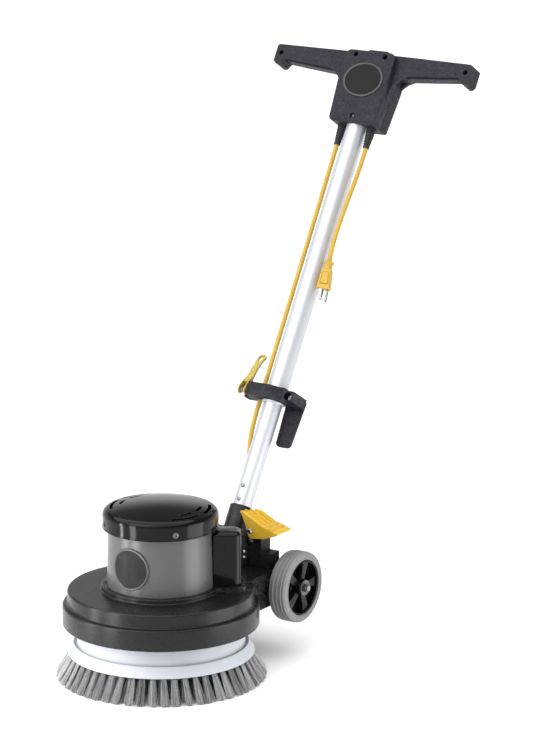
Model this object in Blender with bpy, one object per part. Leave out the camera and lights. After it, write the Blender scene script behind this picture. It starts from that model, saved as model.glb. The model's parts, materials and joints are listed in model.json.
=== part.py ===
"""Rotary floor machine: a driven round brush under a motor, two wheels and a telescopic handle.

Metres, +Z up.  The machine stands on its brush, its front faces -Y and its handle leans back
towards +Y.  All places are written from the brush's own axis, with the floor at z = 0, under an
empty that moves the whole machine so that the frame's origin is the middle of its footprint.
The handle's pieces are written in the handle's own frame: z runs up the tube, y to its rear
side, and the origin is the tilt pivot.
"""
import math

import bmesh
import bpy
from mathutils import Vector

# ---- driving dimensions (metres) ----
BRUSH_AXIS_Y = -0.2695       # the brush's axis in the frame
HANDLE_LEAN = math.radians(31.0)
PIVOT = (0.0, 0.2145, 0.1803)
GAP = 0.0003                 # clearance between neighbours

SKIRT_R = 0.171
SKIRT_LOW = 0.0945
TIER_R = 0.1626
DECK_TOP = 0.157
CAVITY_TOP = 0.151
COLLAR_R = 0.103
COLLAR_TOP = 0.166
MOTOR_R = 0.0935
MOTOR_TOP_R = 0.0907
MOTOR_LOW = 0.1593
MOTOR_TOP = 0.269
CAP_R = 0.1005
CAP_LOW = 0.268
CAP_BAND_TOP = 0.2900       # where the hood's straight band ends
CAP_APEX = 0.3104
CAPACITOR_ANGLE = math.radians(35.0)

BLOCK_HALF = 0.107
BLOCK_REAR = 0.260
AXLE_Y = 0.224
AXLE_Z = 0.1245
AXLE_R = 0.0048
AXLE_END = 0.1600            # half the axle's length
WHEEL_R = 0.0635
WHEEL_IN = 0.114
WHEEL_OUT = 0.150
RIM_R = 0.0497

BRISTLE_TIP_R = 0.184
BRISTLE_ROOT_R = 0.160
BLOCK_LOW = 0.0435

LOWER_TUBE_R = 0.0172
UPPER_TUBE_R = 0.01905
UPPER_TUBE_BORE = 0.01765
UPPER_TUBE_LOW = 0.270
CLAMP_LOW = 0.2700
CLAMP_TOP = 0.2940
CORD_R = 0.00425
CORD_X = 0.031

HEAD_LOW = 0.803
HEAD_TOP = 0.941
HEAD_FRONT = -0.0275
HEAD_REAR = 0.028
PARTING = 0.003
GRIP_END = 0.2085
GRIP_FRONT = -0.0165
GRIP_BACK = 0.0165

PEDAL_PIVOT = (0.0645, 0.225)
SUN_R = 0.0070
PLANET_R = 0.0286
PLANET_ORBIT = 0.036

FINISHES = {
    "black_satin": ((0.045, 0.045, 0.048), 0.42, 0.0),
    "black_gloss": ((0.012, 0.012, 0.013), 0.16, 0.0),
    "black_matt": ((0.010, 0.010, 0.011), 0.55, 0.0),
    "charcoal_plastic": ((0.050, 0.048, 0.055), 0.60, 0.0),
    "grey_paint": ((0.22, 0.22, 0.225), 0.33, 0.0),
    "grey_tyre": ((0.24, 0.24, 0.245), 0.70, 0.0),
    "white_plastic": ((0.74, 0.76, 0.78), 0.50, 0.0),
    "grey_bristle": ((0.30, 0.30, 0.31), 0.80, 0.0),
    "safety_yellow": ((0.76, 0.49, 0.045), 0.42, 0.0),
    "cord_yellow": ((0.70, 0.42, 0.05), 0.50, 0.0),
    "bright_tube": ((0.80, 0.81, 0.83), 0.25, 1.0),
    "zinc": ((0.62, 0.63, 0.64), 0.32, 1.0),
    "steel": ((0.50, 0.50, 0.51), 0.38, 1.0),
    "copper": ((0.60, 0.28, 0.15), 0.40, 1.0),
    "black_rubber": ((0.015, 0.015, 0.016), 0.70, 0.0),
}


def clear_scene():
    for obj in list(bpy.data.objects):
        bpy.data.objects.remove(obj, do_unlink=True)


def finish(name):
    """The named finish as a Principled material, made once."""
    mat = bpy.data.materials.get(name)
    if mat:
        return mat
    colour, roughness, metallic = FINISHES[name]
    mat = bpy.data.materials.new(name)
    mat.use_nodes = True
    shader = mat.node_tree.nodes["Principled BSDF"]
    shader.inputs["Base Color"].default_value = (*colour, 1.0)
    shader.inputs["Roughness"].default_value = roughness
    shader.inputs["Metallic"].default_value = metallic
    mat.diffuse_color = (*colour, 1.0)
    return mat


def empty(name, parent, place, tilt=0.0):
    """A frame for other pieces, turned by tilt about X."""
    frame = bpy.data.objects.new(name, None)
    bpy.context.scene.collection.objects.link(frame)
    frame.parent = parent
    frame.location = place
    frame.rotation_euler = (tilt, 0.0, 0.0)
    return frame


def add_object(name, bm, parent, look, place=(0, 0, 0), turn=(0, 0, 0)):
    bmesh.ops.recalc_face_normals(bm, faces=bm.faces)
    mesh = bpy.data.meshes.new(name)
    bm.to_mesh(mesh)
    bm.free()
    mesh.shade_smooth()
    mesh.set_sharp_from_angle(angle=math.radians(32))
    obj = bpy.data.objects.new(name, mesh)
    bpy.context.scene.collection.objects.link(obj)
    obj.parent = parent
    obj.location = place
    obj.rotation_euler = turn
    if look:
        mesh.materials.append(finish(look))
    return obj


AXIS_TURN = {"Z": (0, 0, 0), "X": (0, math.pi / 2, 0), "Y": (-math.pi / 2, 0, 0)}


def turned(name, profile, parent, look, place=(0, 0, 0), axis="Z", sides=24, turn=None):
    """A closed (radius, height) profile spun about its own Z, then laid along axis."""
    bm = bmesh.new()
    rings = []
    for radius, height in profile:
        if radius == 0:
            rings.append([bm.verts.new((0, 0, height))])
            continue
        steps = [2 * math.pi * i / sides for i in range(sides)]
        ring = [bm.verts.new((radius * math.cos(a), radius * math.sin(a), height)) for a in steps]
        rings.append(ring)
    pairs = list(zip(rings, rings[1:]))
    if profile[0][0] or profile[-1][0]:
        pairs.append((rings[-1], rings[0]))
    for one, two in pairs:
        for i in range(sides):
            j = (i + 1) % sides
            corners = [one[i % len(one)], one[j % len(one)], two[j % len(two)], two[i % len(two)]]
            corners = list(dict.fromkeys(corners))
            if len(corners) > 2:
                bm.faces.new(corners)
    return add_object(name, bm, parent, look, place, turn or AXIS_TURN[axis])


def rod(name, radius, low, high, parent, look, place=(0, 0, 0), axis="Z", sides=16, turn=None):
    profile = [(0, low), (radius, low), (radius, high), (0, high)]
    return turned(name, profile, parent, look, place, axis, sides, turn)


def tube(name, outer, inner, low, high, parent, look, place=(0, 0, 0), axis="Z", sides=28):
    profile = [(outer, low), (outer, high), (inner, high), (inner, low)]
    return turned(name, profile, parent, look, place, axis, sides)


def prism(name, outline, low, high, parent, look, axis="Z", place=(0, 0, 0), turn=(0, 0, 0)):
    """A flat outline given depth along axis; it lists (x, y), (x, z) or (y, z) points."""
    lay = {
        "Z": lambda a, b, h: (a, b, h),
        "Y": lambda a, b, h: (a, h, b),
        "X": lambda a, b, h: (h, a, b),
    }[axis]
    bm = bmesh.new()
    base = [bm.verts.new(lay(a, b, low)) for a, b in outline]
    top = [bm.verts.new(lay(a, b, high)) for a, b in outline]
    bm.faces.new(base)
    bm.faces.new(top)
    count = len(outline)
    for i in range(count):
        j = (i + 1) % count
        bm.faces.new((base[i], base[j], top[j], top[i]))
    return add_object(name, bm, parent, look, place, turn)


def arc(cx, cy, radius, start, end, steps):
    """Points along an arc, angles in degrees."""
    angles = [math.radians(start + (end - start) * i / steps) for i in range(steps + 1)]
    return [(cx + radius * math.cos(a), cy + radius * math.sin(a)) for a in angles]


def rounded(x0, x1, y0, y1, radius, steps=3):
    """A rectangle's outline with round corners."""
    return (
        arc(x1 - radius, y1 - radius, radius, 0, 90, steps)
        + arc(x0 + radius, y1 - radius, radius, 90, 180, steps)
        + arc(x0 + radius, y0 + radius, radius, 180, 270, steps)
        + arc(x1 - radius, y0 + radius, radius, 270, 360, steps)
    )


def box(name, x, y, z, parent, look=None, place=(0, 0, 0), turn=(0, 0, 0)):
    outline = [(x[0], y[0]), (x[1], y[0]), (x[1], y[1]), (x[0], y[1])]
    return prism(name, outline, z[0], z[1], parent, look, "Z", place, turn)


def combine(obj, tool, operation):
    """Adds tool to obj, or takes it away, with an exact Boolean; tool becomes a guide."""
    tool.hide_render = True
    tool.display_type = "WIRE"
    step = obj.modifiers.new(tool.name, "BOOLEAN")
    step.operation = operation
    step.solver = "EXACT"
    step.object = tool
    return obj


def cut(obj, *tools):
    for tool in tools:
        combine(obj, tool, "DIFFERENCE")


def join(obj, *tools):
    for tool in tools:
        combine(obj, tool, "UNION")


def screw(name, parent, look, place, axis, head_r, head_h, shank_r, shank_l, sides=14, turn=None):
    """A screw whose head's underside is at place and whose shank runs along +axis."""
    profile = [(0, -head_h), (head_r * 0.75, -head_h), (head_r, -head_h * 0.55), (head_r, 0)]
    profile += [(shank_r, 0), (shank_r, shank_l), (0, shank_l)]
    return turned(name, profile, parent, look, place, axis, sides, turn)


# ---- deck, gearbox and brush ----
def deck_housing(root):
    profile = [
        (0, 0.0945), (0.1695, 0.0945), (SKIRT_R, 0.0965), (SKIRT_R, 0.1290), (0.1692, 0.1316),
        (0.1642, 0.1325), (TIER_R, 0.1345), (TIER_R, 0.1545), (0.1603, DECK_TOP),
        (COLLAR_R, DECK_TOP), (COLLAR_R, 0.1642), (0.1012, COLLAR_TOP), (0, COLLAR_TOP),
    ]
    deck = turned("deck_housing", profile, root, "black_satin", sides=48)
    rear = rounded(-BLOCK_HALF, BLOCK_HALF, 0.100, BLOCK_REAR, 0.006)
    join(deck, prism("rear_block", rear, SKIRT_LOW, DECK_TOP, root, None))
    lobe = rounded(0.080, 0.1475, -0.0345, 0.0345, 0.012)
    turn = (0, 0, CAPACITOR_ANGLE)
    join(deck, prism("collar_lobe", lobe, 0.150, COLLAR_TOP, root, None, turn=turn))
    cavity = [
        (0, 0.080), (0.1655, 0.080), (0.1655, 0.1270), (0.1570, 0.1290), (0.1570, CAVITY_TOP),
        (0.0815, CAVITY_TOP), (0.0815, 0.1158), (0.0755, 0.1158), (0.0755, 0.1500), (0, 0.1500),
    ]
    cut(deck, turned("deck_cavity", cavity, root, None, sides=40))
    inside = rounded(-0.101, 0.101, 0.1745, 0.254, 0.004, 2)
    cut(deck, prism("block_cavity", inside, 0.080, CAVITY_TOP, root, None))
    cut(deck, rod("motor_well", 0.0943, 0.1590, 0.180, root, None, sides=40))
    cut(deck, rod("shaft_bore", 0.0081, 0.145, 0.165, root, None))
    cut(deck, rod("axle_bore", AXLE_R + GAP, -0.12, 0.12, root, None, (0, AXLE_Y, AXLE_Z), "X", 16))


def gearbox(root):
    """A sun on the motor's shaft, three planets and a fixed ring; pitch surfaces, no teeth."""
    tube("ring_gear", 0.0748, 0.0653, 0.1285, 0.1455, root, "steel", sides=32)
    carrier = [(0, 0.0952), (0.0125, 0.0952), (0.0125, 0.1190), (0.0600, 0.1190),
               (0.0600, 0.1270), (0, 0.1270)]
    plate = turned("planet_carrier", carrier, root, "steel")
    for i in range(3):
        angle = 2 * math.pi * i / 3 + math.pi / 2
        place = (PLANET_ORBIT * math.cos(angle), PLANET_ORBIT * math.sin(angle), 0)
        join(plate, rod("planet_pin_tool", 0.0049, 0.1260, 0.1450, root, None, place, sides=12))
        tube("planet_gear_%d" % (i + 1), PLANET_R, 0.0052, 0.1285, 0.1455, root, "steel", place)
    cover = [
        (0.0225, 0.0990), (0.0225, 0.1125), (0.0812, 0.1125), (0.0812, 0.1155), (0.0129, 0.1155),
        (0.0129, 0.0990),
    ]
    turned("gearbox_cover", cover, root, "steel", sides=28)


def brush(root):
    plate = [(0, 0.0888), (0.0800, 0.0888), (0.0800, 0.0938), (0.0200, 0.0938),
             (0.0200, 0.0949), (0, 0.0949)]
    turned("drive_plate", plate, root, "steel", sides=28)
    block = [
        (0.0600, BLOCK_LOW), (0.1624, BLOCK_LOW), (0.1523, 0.0623), (0.1503, 0.0600),
        (0.1492, 0.0600), (0.1480, 0.0720), (0.1440, 0.0885), (0.0600, 0.0885),
    ]
    turned("brush_block", block, root, "white_plastic", sides=44)
    skirt = [(0.0650, BLOCK_LOW - GAP), (BRISTLE_ROOT_R, BLOCK_LOW - GAP), (BRISTLE_TIP_R, 0),
             (0.0700, 0)]
    turned("brush_bristles", skirt, root, "grey_bristle", sides=44)


# ---- motor ----
def motor(root):
    shell = [(MOTOR_R, MOTOR_LOW), (MOTOR_TOP_R, MOTOR_TOP), (0.0875, MOTOR_TOP),
             (0.0875, MOTOR_LOW)]
    turned("motor_shell", shell, root, "grey_paint", sides=40)
    tube("motor_stator", 0.0870, 0.0500, 0.185, 0.240, root, "copper")
    rotor = [
        (0, 0.1283), (SUN_R, 0.1283), (SUN_R, 0.1470), (0.0078, 0.1490), (0.0078, 0.190),
        (0.0495, 0.190), (0.0495, 0.235), (0.0078, 0.235), (0.0078, 0.2900), (0, 0.2900),
    ]
    turned("motor_rotor", rotor, root, "steel", sides=20)
    bell = [(0.0870, 0.2555), (0.0870, 0.2600), (0.0210, 0.2600), (0.0210, 0.2640),
            (0.0081, 0.2640), (0.0081, 0.2520), (0.0210, 0.2520), (0.0210, 0.2555)]
    turned("motor_end_bell", bell, root, "steel", sides=24)
    fan = turned("cooling_fan", [(0.0081, 0.2720), (0.0300, 0.2720), (0.0300, 0.2760),
                                 (0.0130, 0.2780), (0.0130, 0.2860), (0.0081, 0.2860)],
                 root, "black_matt", sides=16)
    for i in range(6):
        turn = (0, 0, i * math.pi / 3)
        join(fan, box("fan_blade", (0.0120, 0.0780), (-0.0010, 0.0010), (0.2725, 0.2850), root,
                      turn=turn))


VENTS = [(0.0826, 0.0878, 42.0), (0.0680, 0.0730, 27.0)]   # radii and end angle of a group's slots


def motor_cap(root):
    """A hood with a straight band, a rounded shoulder, a shallow dome and four pairs of vents."""
    shoulder_r = 0.0115
    shoulder = arc(CAP_R - shoulder_r, CAP_BAND_TOP, shoulder_r, 0, 80, 3)
    dome_edge, dome_low = shoulder[-1]
    wall_t = 0.0028

    def dome(radius, drop=0.0):
        return (radius, CAP_APEX - drop - (CAP_APEX - dome_low) * (radius / dome_edge) ** 2)

    outer = [dome(r) for r in (0.075, 0.050, 0.025, 0)]
    inner = [dome(r, wall_t) for r in (0, 0.045, 0.0885)]
    wall = [(0.0975, CAP_BAND_TOP - 0.001), (0.0975, 0.2740), (0.0880, 0.2720),
            (0.0880, 0.2693), (0.0912, 0.2693), (0.0912, CAP_LOW)]
    band = [(CAP_R, CAP_LOW)] + shoulder
    cap = turned("motor_cap", band + outer + inner + wall, root, "black_gloss", sides=40)
    for turn_deg in (0.0, 180.0):
        for low, high, end in VENTS:
            for side in (-1, 1):
                slot = arc(0, 0, low, side * 5.5, side * end, 3)
                slot += arc(0, 0, high, side * end, side * 5.5, 3)
                turn = (0, 0, math.radians(turn_deg))
                cut(cap, prism("vent_slot", slot, 0.27, 0.34, root, None, turn=turn))


def capacitor(root):
    turn = (0, 0, CAPACITOR_ANGLE)
    outline = rounded(0.0780, 0.1390, -0.0260, 0.0260, 0.0130)
    case = prism("capacitor_box", outline, COLLAR_TOP + GAP, 0.2550, root, "black_gloss",
                 turn=turn)
    crown = rounded(0.0780, 0.1345, -0.0215, 0.0215, 0.0100)
    join(case, prism("capacitor_crown", crown, 0.2500, 0.2605, root, None, turn=turn))
    inside = rounded(0.0780, 0.1368, -0.0238, 0.0238, 0.0110)
    cut(case, prism("capacitor_hollow", inside, 0.150, 0.2520, root, None, turn=turn))
    cut(case, rod("motor_clearance", MOTOR_R + 0.0010, 0.140, 0.27, root, None, sides=40))
    place = (0.1165 * math.cos(CAPACITOR_ANGLE), 0.1165 * math.sin(CAPACITOR_ANGLE), 0)
    rod("run_capacitor", 0.0190, 0.1666, 0.2400, root, "steel", place)


def motor_badge(root):
    """A plain round plate that lies on the motor's curved front."""
    bm = bmesh.new()
    steps = 24
    layers = []
    for lift in (0.0008, 0.0020):
        centre_r = MOTOR_R - 0.0010 + lift
        rows = []
        for share in (0.5, 1.0):
            ring = []
            for i in range(steps):
                angle = 2 * math.pi * i / steps
                across = 0.0370 * share * math.cos(angle)
                height = 0.0370 * share * math.sin(angle)
                around = -math.pi / 2 + across / MOTOR_R
                radius = centre_r - (height + 0.0025) * 0.0255
                ring.append(bm.verts.new((radius * math.cos(around), radius * math.sin(around),
                                          0.2130 + height)))
            rows.append(ring)
        centre = bm.verts.new((0, -centre_r + 0.0025 * 0.0255, 0.2130))
        layers.append((centre, rows))
    for centre, rows in layers:
        for i in range(steps):
            j = (i + 1) % steps
            bm.faces.new((centre, rows[0][i], rows[0][j]))
            bm.faces.new((rows[0][i], rows[1][i], rows[1][j], rows[0][j]))
    low = layers[0][1][1]
    high = layers[1][1][1]
    for i in range(steps):
        j = (i + 1) % steps
        bm.faces.new((low[i], low[j], high[j], high[i]))
    add_object("motor_badge", bm, root, "black_satin")


# ---- wheels ----
def wheel(side, root):
    label = "left" if side < 0 else "right"
    place = (0, AXLE_Y, AXLE_Z)
    turn = (0, side * math.pi / 2, 0)
    tyre = [
        (RIM_R, 0.1150), (0.0575, WHEEL_IN), (0.0615, 0.1155), (WHEEL_R, 0.1205),
        (WHEEL_R, 0.1435), (0.0615, 0.1485), (0.0575, WHEEL_OUT), (RIM_R, 0.1495),
    ]
    turned("tyre_" + label, tyre, root, "grey_tyre", place, sides=32, turn=turn)
    bore = AXLE_R + GAP
    hub = [
        (bore, 0.1080), (0.0100, 0.1080), (0.0120, 0.1260), (0.0440, 0.1260), (0.0440, 0.1180),
        (RIM_R - GAP, 0.1180), (RIM_R - GAP, 0.1480), (0.0462, 0.1480), (0.0440, 0.1330),
        (0.0160, 0.1330), (0.0150, WHEEL_OUT), (bore, WHEEL_OUT),
    ]
    core = turned("wheel_hub_" + label, hub, root, "black_gloss", place, sides=32, turn=turn)
    for i in range(5):
        angle = math.radians(90 + 72 * i)
        spoke = box("spoke", (0.0120, 0.0450), (-0.0050, 0.0050), (0.1300, 0.1440), root,
                    place=place)
        spoke.rotation_mode = "QUATERNION"
        lay = Vector((0, 0, 1)).rotation_difference(Vector((side, 0, 0)))
        spin = Vector((1, 0, 0)).rotation_difference(
            Vector((math.cos(angle), math.sin(angle), 0)))
        spoke.rotation_quaternion = lay @ spin
        join(core, spoke)
    washer = tube("axle_washer_" + label, 0.0140, bore, 0.1503, 0.1525, root, "zinc", place, "X",
                  24)
    washer.rotation_euler = turn
    hexagon = arc(0, 0, 0.0079, 0, 300, 5)
    nut = prism("axle_nut_" + label, hexagon, 0.1528, 0.1580, root, "zinc", "Z", place, turn)
    cut(nut, rod("nut_bore", bore, 0.14, 0.17, root, None, place, sides=20, turn=turn))


def axle(root):
    rod("wheel_axle", AXLE_R, -AXLE_END, AXLE_END, root, "zinc", (0, AXLE_Y, AXLE_Z), "X", 20)


# ---- handle bracket, pivot and pedal ----
def handle_bracket(root):
    px, pz = PEDAL_PIVOT
    lug = arc(px, pz, 0.0095, -20, 200, 8)
    outline = [
        (-0.099, 0.1573), (0.099, 0.1573), (0.099, 0.1845), (0.080, 0.1845), (0.080, 0.2085),
        (0.0734, 0.2105), *lug, (0.0556, 0.2105), (0.050, 0.2150), (0.0345, 0.2150),
        (0.0345, 0.1600), (-0.0345, 0.1600), (-0.0345, 0.2150), (-0.050, 0.2150),
        (-0.0500, 0.2085), (-0.080, 0.2085), (-0.080, 0.1845), (-0.099, 0.1845),
    ]
    bracket = prism("handle_bracket", outline, 0.193, 0.222, root, "black_matt", "Y")
    for side in (-1, 1):
        x = sorted((side * 0.0345, side * 0.0500))
        join(bracket, box("front_cheek", x, (0.1715, 0.200), (0.1573, 0.2150), root))
    hole = rod("pivot_hole", 0.0067, -0.12, 0.0630, root, None, PIVOT, "X", 20)
    cut(bracket, hole)
    cut(bracket, rod("pedal_hole", 0.0034, 0.15, 0.24, root, None, (px, 0, pz), "Y", 12))
    pin = [(0, -0.1060), (0.0105, -0.1060), (0.0105, -0.0994), (0.0063, -0.0994),
           (0.0063, 0.0615), (0, 0.0615)]
    turned("pivot_pin", pin, root, "zinc", PIVOT, "X", 20)


def foot_pedal(root):
    px, pz = PEDAL_PIVOT
    hinge = empty("pedal_pivot", root, (px, 0, pz))
    front, back = 0.1810, 0.2262
    top = [(0.0438, 0.2588), (0.0730, 0.2448), (0.0900, 0.2362), (0.1060, 0.2322),
           (0.1210, 0.2272)]
    under = [(x - 0.0015, z - 0.0032) for x, z in reversed(top)]
    tread = [(x - px, z - pz) for x, z in top + under]
    pedal = prism("foot_pedal", tread, front, back, hinge, "safety_yellow", "Y")
    plate = [(0.0438, 0.2585), (0.0730, 0.2440), (0.0900, 0.2355), (0.1060, 0.2315),
             (0.1190, 0.2262), (0.1171, 0.2229), (0.0950, 0.2150), (0.0750, 0.2122),
             (0.0650, 0.2119), (0.0605, 0.2150), (0.0568, 0.2300)]
    side = [(x - px, z - pz) for x, z in plate]
    join(pedal, prism("pedal_front_plate", side, front, front + 0.003, hinge, None, "Y"))
    join(pedal, prism("pedal_back_plate", side, back - 0.003, back, hinge, None, "Y"))
    slope = math.atan2(0.2588 - 0.2448, 0.0730 - 0.0438)
    for y in (0.1925, 0.2036, 0.2147):
        rib = box("tread_rib", (0.0020, 0.0480), (y - 0.0012, y + 0.0012), (-0.0020, 0.0014),
                  hinge, place=(0.0438 - px, 0, 0.2588 - pz), turn=(0, slope, 0))
        join(pedal, rib)
    for x, z in ((0.0965, 0.2346), (0.1060, 0.2322), (0.1150, 0.2292)):
        rib = box("cross_rib", (-0.0012, 0.0012), (0.1835, 0.2237), (-0.0020, 0.0012), hinge,
                  place=(x - px, 0, z - pz))
        join(pedal, rib)
    corner = [(0.0400, 0.1790), (0.0432, 0.1790), (0.0582, 0.2280), (0.0400, 0.2280)]
    cut(pedal, prism("rear_corner", [(x - px, y) for x, y in corner], 0, 0.0600, hinge, None))
    cut(pedal, rod("pedal_bore", 0.0034, 0.15, 0.25, hinge, None, (0, 0, 0), "Y", 12))
    screw("pedal_bolt", root, "zinc", (px, 0.1807, pz), "Y", 0.0048, 0.0034, 0.0030, 0.0515, 14)


# ---- lower handle ----
def lower_handle(frame):
    tongue = arc(0, 0, 0.0190, 180, 360, 12) + [(0.0190, 0.0290), (-0.0190, 0.0290)]
    yoke = prism("yoke_socket", tongue, -0.0300, 0.0300, frame, "black_satin", "X")
    join(yoke, rod("socket_barrel", 0.0215, 0.0180, 0.0720, frame, None, sides=24))
    cut(yoke, rod("socket_bore", LOWER_TUBE_R + GAP, 0.0447, 0.09, frame, None, sides=24))
    cut(yoke, rod("yoke_pivot_bore", 0.0067, -0.05, 0.05, frame, None, (0, 0, 0), "X", 20))
    lower = tube("lower_tube", LOWER_TUBE_R, 0.0152, 0.0450, 0.7900, frame, "bright_tube")
    outward = Vector((-0.55, 0.835, 0)).normalized()
    lean = math.radians(22)
    direction = Vector((0, 0, 1)) * math.cos(lean) + outward * math.sin(lean)
    base = outward * LOWER_TUBE_R + Vector((0, 0, 0.0920))
    turn = Vector((0, 0, 1)).rotation_difference(direction).to_euler()
    boot = turned("cord_boot", [(0.0051, -0.0120), (0.0098, -0.0120), (0.0098, 0.0120),
                                (0.0070, 0.0340), (0.0051, 0.0340)],
                  frame, "black_rubber", base, sides=16, turn=turn)
    cut(boot, rod("boot_saddle", LOWER_TUBE_R + GAP, 0.05, 0.14, frame, None, sides=24))
    hole = rod("cord_entry_hole", 0.0051, -0.012, 0.02, frame, None, base, sides=16, turn=turn)
    cut(lower, hole)


# ---- upper handle: tube, clamp, lever, hook ----
def upper_tube(frame):
    upper = tube("upper_tube", UPPER_TUBE_R, UPPER_TUBE_BORE, UPPER_TUBE_LOW, 0.8600, frame,
                 "bright_tube")
    slit = box("tube_slit", (-0.0012, 0.0012), (0.010, 0.025), (0.2600, 0.3150), frame)
    cut(upper, slit)
    tube("clamp_ring", 0.0232, LOWER_TUBE_R + GAP, 0.2645, 0.2692, frame, "white_plastic")


def clamp(frame):
    outline = [
        (-0.0430, -0.0300), (0.0060, -0.0300), (0.0125, -0.0262), (0.0250, -0.0262),
        (0.0300, -0.0300), (0.0540, -0.0300), (0.0540, 0.0200), (0.0120, 0.0200),
        *arc(0, 0, 0.0262, 80, 125, 4), (-0.0300, 0.0120), (-0.0600, 0.0120),
        (-0.0600, -0.0080), (-0.0450, -0.0100), (-0.0450, -0.0280),
    ]
    body = prism("tube_clamp", outline, CLAMP_LOW, CLAMP_TOP, frame, "charcoal_plastic")
    cut(body, rod("clamp_bore", UPPER_TUBE_R + GAP, 0.25, 0.31, frame, None, sides=24))
    cut(body, rod("cord_guide", 0.0055, 0.25, 0.31, frame, None, (-0.0290, 0, 0), sides=16))
    cut(body, box("block_step", (0.0285, 0.06), (-0.04, 0.03), (0.2880, 0.31), frame))
    cut(body, box("lug_step", (-0.07, -0.0445), (-0.02, 0.02), (0.2860, 0.31), frame))
    cut(body, rod("bolt_counterbore", 0.0065, -0.04, -0.0222, frame, None, (0.044, 0, 0.2780),
                  "Y", 16))
    cut(body, rod("bolt_hole", 0.0034, -0.04, 0.03, frame, None, (0.044, 0, 0.2780), "Y", 12))
    cut(body, rod("draw_hole", 0.0034, -0.04, 0.03, frame, None, (-0.0540, 0, 0.2780), "Y", 12))
    screw("clamp_bolt", frame, "steel", (0.044, -0.0225, 0.2780), "Y", 0.0052, 0.0056, 0.0030,
          0.0500, 14)


def cord_hook(frame):
    outline = [
        (0.0130, 0.2880), (0.0160, 0.2050), (0.0195, 0.1985), (0.0260, 0.1960), (0.0400, 0.1960),
        (0.0460, 0.1990), (0.0489, 0.2050), (0.0530, 0.2880),
    ]
    hook = prism("cord_hook", outline, 0.0203, 0.0248, frame, "charcoal_plastic", "Y")
    boss = rod("hook_boss", 0.0110, 0.2450, 0.2690, frame, None, (0.0330, 0.0215, 0), sides=20)
    join(hook, boss)
    cut(hook, rod("hook_hole", 0.0034, 0.01, 0.04, frame, None, (0.044, 0, 0.2780), "Y", 12))


LEVER_PIVOT = (-0.0540, -0.0250, 0.2780)


def cam_lever(frame):
    """A yellow U-shaped lever whose ears ride on the pin; its own z runs up the lever."""
    hinge = empty("lever_pivot", frame, LEVER_PIVOT, -math.radians(22.0))
    profile = [
        *arc(0, 0, 0.0080, 180, 360, 8), (0.0068, 0.0180), (0.0045, 0.0330), (0.0045, 0.0800),
        (0.0020, 0.0850), (-0.0030, 0.0850), (-0.0050, 0.0800), (-0.0060, 0.0330),
        (-0.0080, 0.0120),
    ]
    lever = prism("cam_lever", profile, -0.0070, 0.0070, hinge, "safety_yellow", "X")
    cut(lever, box("lever_channel", (-0.0050, 0.0050), (-0.02, 0.0022), (-0.02, 0.0560), hinge))
    cut(lever, box("stem_channel", (-0.0050, 0.0050), (-0.02, 0.02), (-0.02, 0.0140), hinge))
    cut(lever, rod("eyelet", 0.0042, -0.02, 0.02, hinge, None, (0, 0, 0.0720), "Y", 16))
    cut(lever, rod("lever_bore", 0.0031, -0.02, 0.02, hinge, None, (0, 0, 0), "X", 14))
    rod("lever_pin", 0.0028, -0.0085, 0.0085, frame, "zinc", LEVER_PIVOT, "X", 14)
    draw = tube("draw_bolt", 0.0047, 0.0031, -0.0045, 0.0045, frame, "steel", LEVER_PIVOT, "X", 16)
    join(draw, rod("draw_stem", 0.0030, 0.0040, 0.0410, frame, None, LEVER_PIVOT, "Y", 12))


# ---- handle head ----
def head_outline():
    right = [
        (0.0470, HEAD_LOW), (0.0500, 0.8500), (0.0560, 0.8790), (0.0650, 0.8930),
        (0.0720, 0.9047), (0.1900, 0.9138), (0.1925, 0.9050), (0.1960, 0.9018),
        (0.2055, 0.9015), (GRIP_END, 0.9055), (GRIP_END, 0.9370), (0.2050, HEAD_TOP - 0.001), (0.0700, HEAD_TOP),
    ]
    return right + [(-x, s) for x, s in reversed(right)]


def body_outline():
    """The head's own block, without its grips."""
    return [
        (-0.0470, HEAD_LOW), (0.0470, HEAD_LOW), (0.0525, 0.8800), (0.0525, 0.9330),
        (0.0460, HEAD_TOP), (-0.0460, HEAD_TOP), (-0.0525, 0.9330), (-0.0525, 0.8800),
    ]


def head_covers(frame):
    front = prism("head_front_cover", head_outline(), GRIP_FRONT, PARTING - GAP / 2, frame,
                  "charcoal_plastic", "Y")
    rear = prism("head_rear_cover", head_outline(), PARTING + GAP / 2, GRIP_BACK, frame,
                 "charcoal_plastic", "Y")
    join(front, prism("front_block", body_outline(), HEAD_FRONT, PARTING - GAP / 2 - 0.001, frame,
                      None, "Y"))
    join(rear, prism("rear_block_tool", body_outline(), PARTING + GAP / 2 + 0.001, HEAD_REAR,
                     frame, None, "Y"))
    inside = [(-0.0435, 0.8065), (0.0435, 0.8065), (0.0485, 0.8800), (0.0485, 0.9250),
              (-0.0485, 0.9250), (-0.0485, 0.8800)]
    chamfer = [(HEAD_FRONT - 0.001, HEAD_LOW - 0.001), (HEAD_FRONT + 0.0055, HEAD_LOW - 0.001),
               (HEAD_FRONT - 0.001, HEAD_LOW + 0.0065)]
    for cover in (front, rear):
        tag = cover.name
        cut(cover, prism(tag + "_hollow", inside, -0.0245, 0.0250, frame, None, "Y"))
        cut(cover, rod(tag + "_tube_bore", UPPER_TUBE_R + GAP, 0.79, 0.83, frame, None, sides=24))
        cut(cover, box(tag + "_button", (-0.0185, 0.0235), (-0.0105, 0.0105), (0.9200, 0.96), frame))
        for side in (-1, 1):
            place = (side * CORD_X, 0, 0)
            cut(cover, rod(tag + "_relief", 0.0075, 0.79, 0.82, frame, None, place, sides=16))
            x = sorted((side * 0.0580, side * 0.1885))
            cut(cover, box(tag + "_trigger_slot", x, (-0.0108, 0.0108), (0.88, 0.9250), frame))
    cut(front, prism("front_chamfer", chamfer, -0.06, 0.06, frame, None, "X"))


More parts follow.
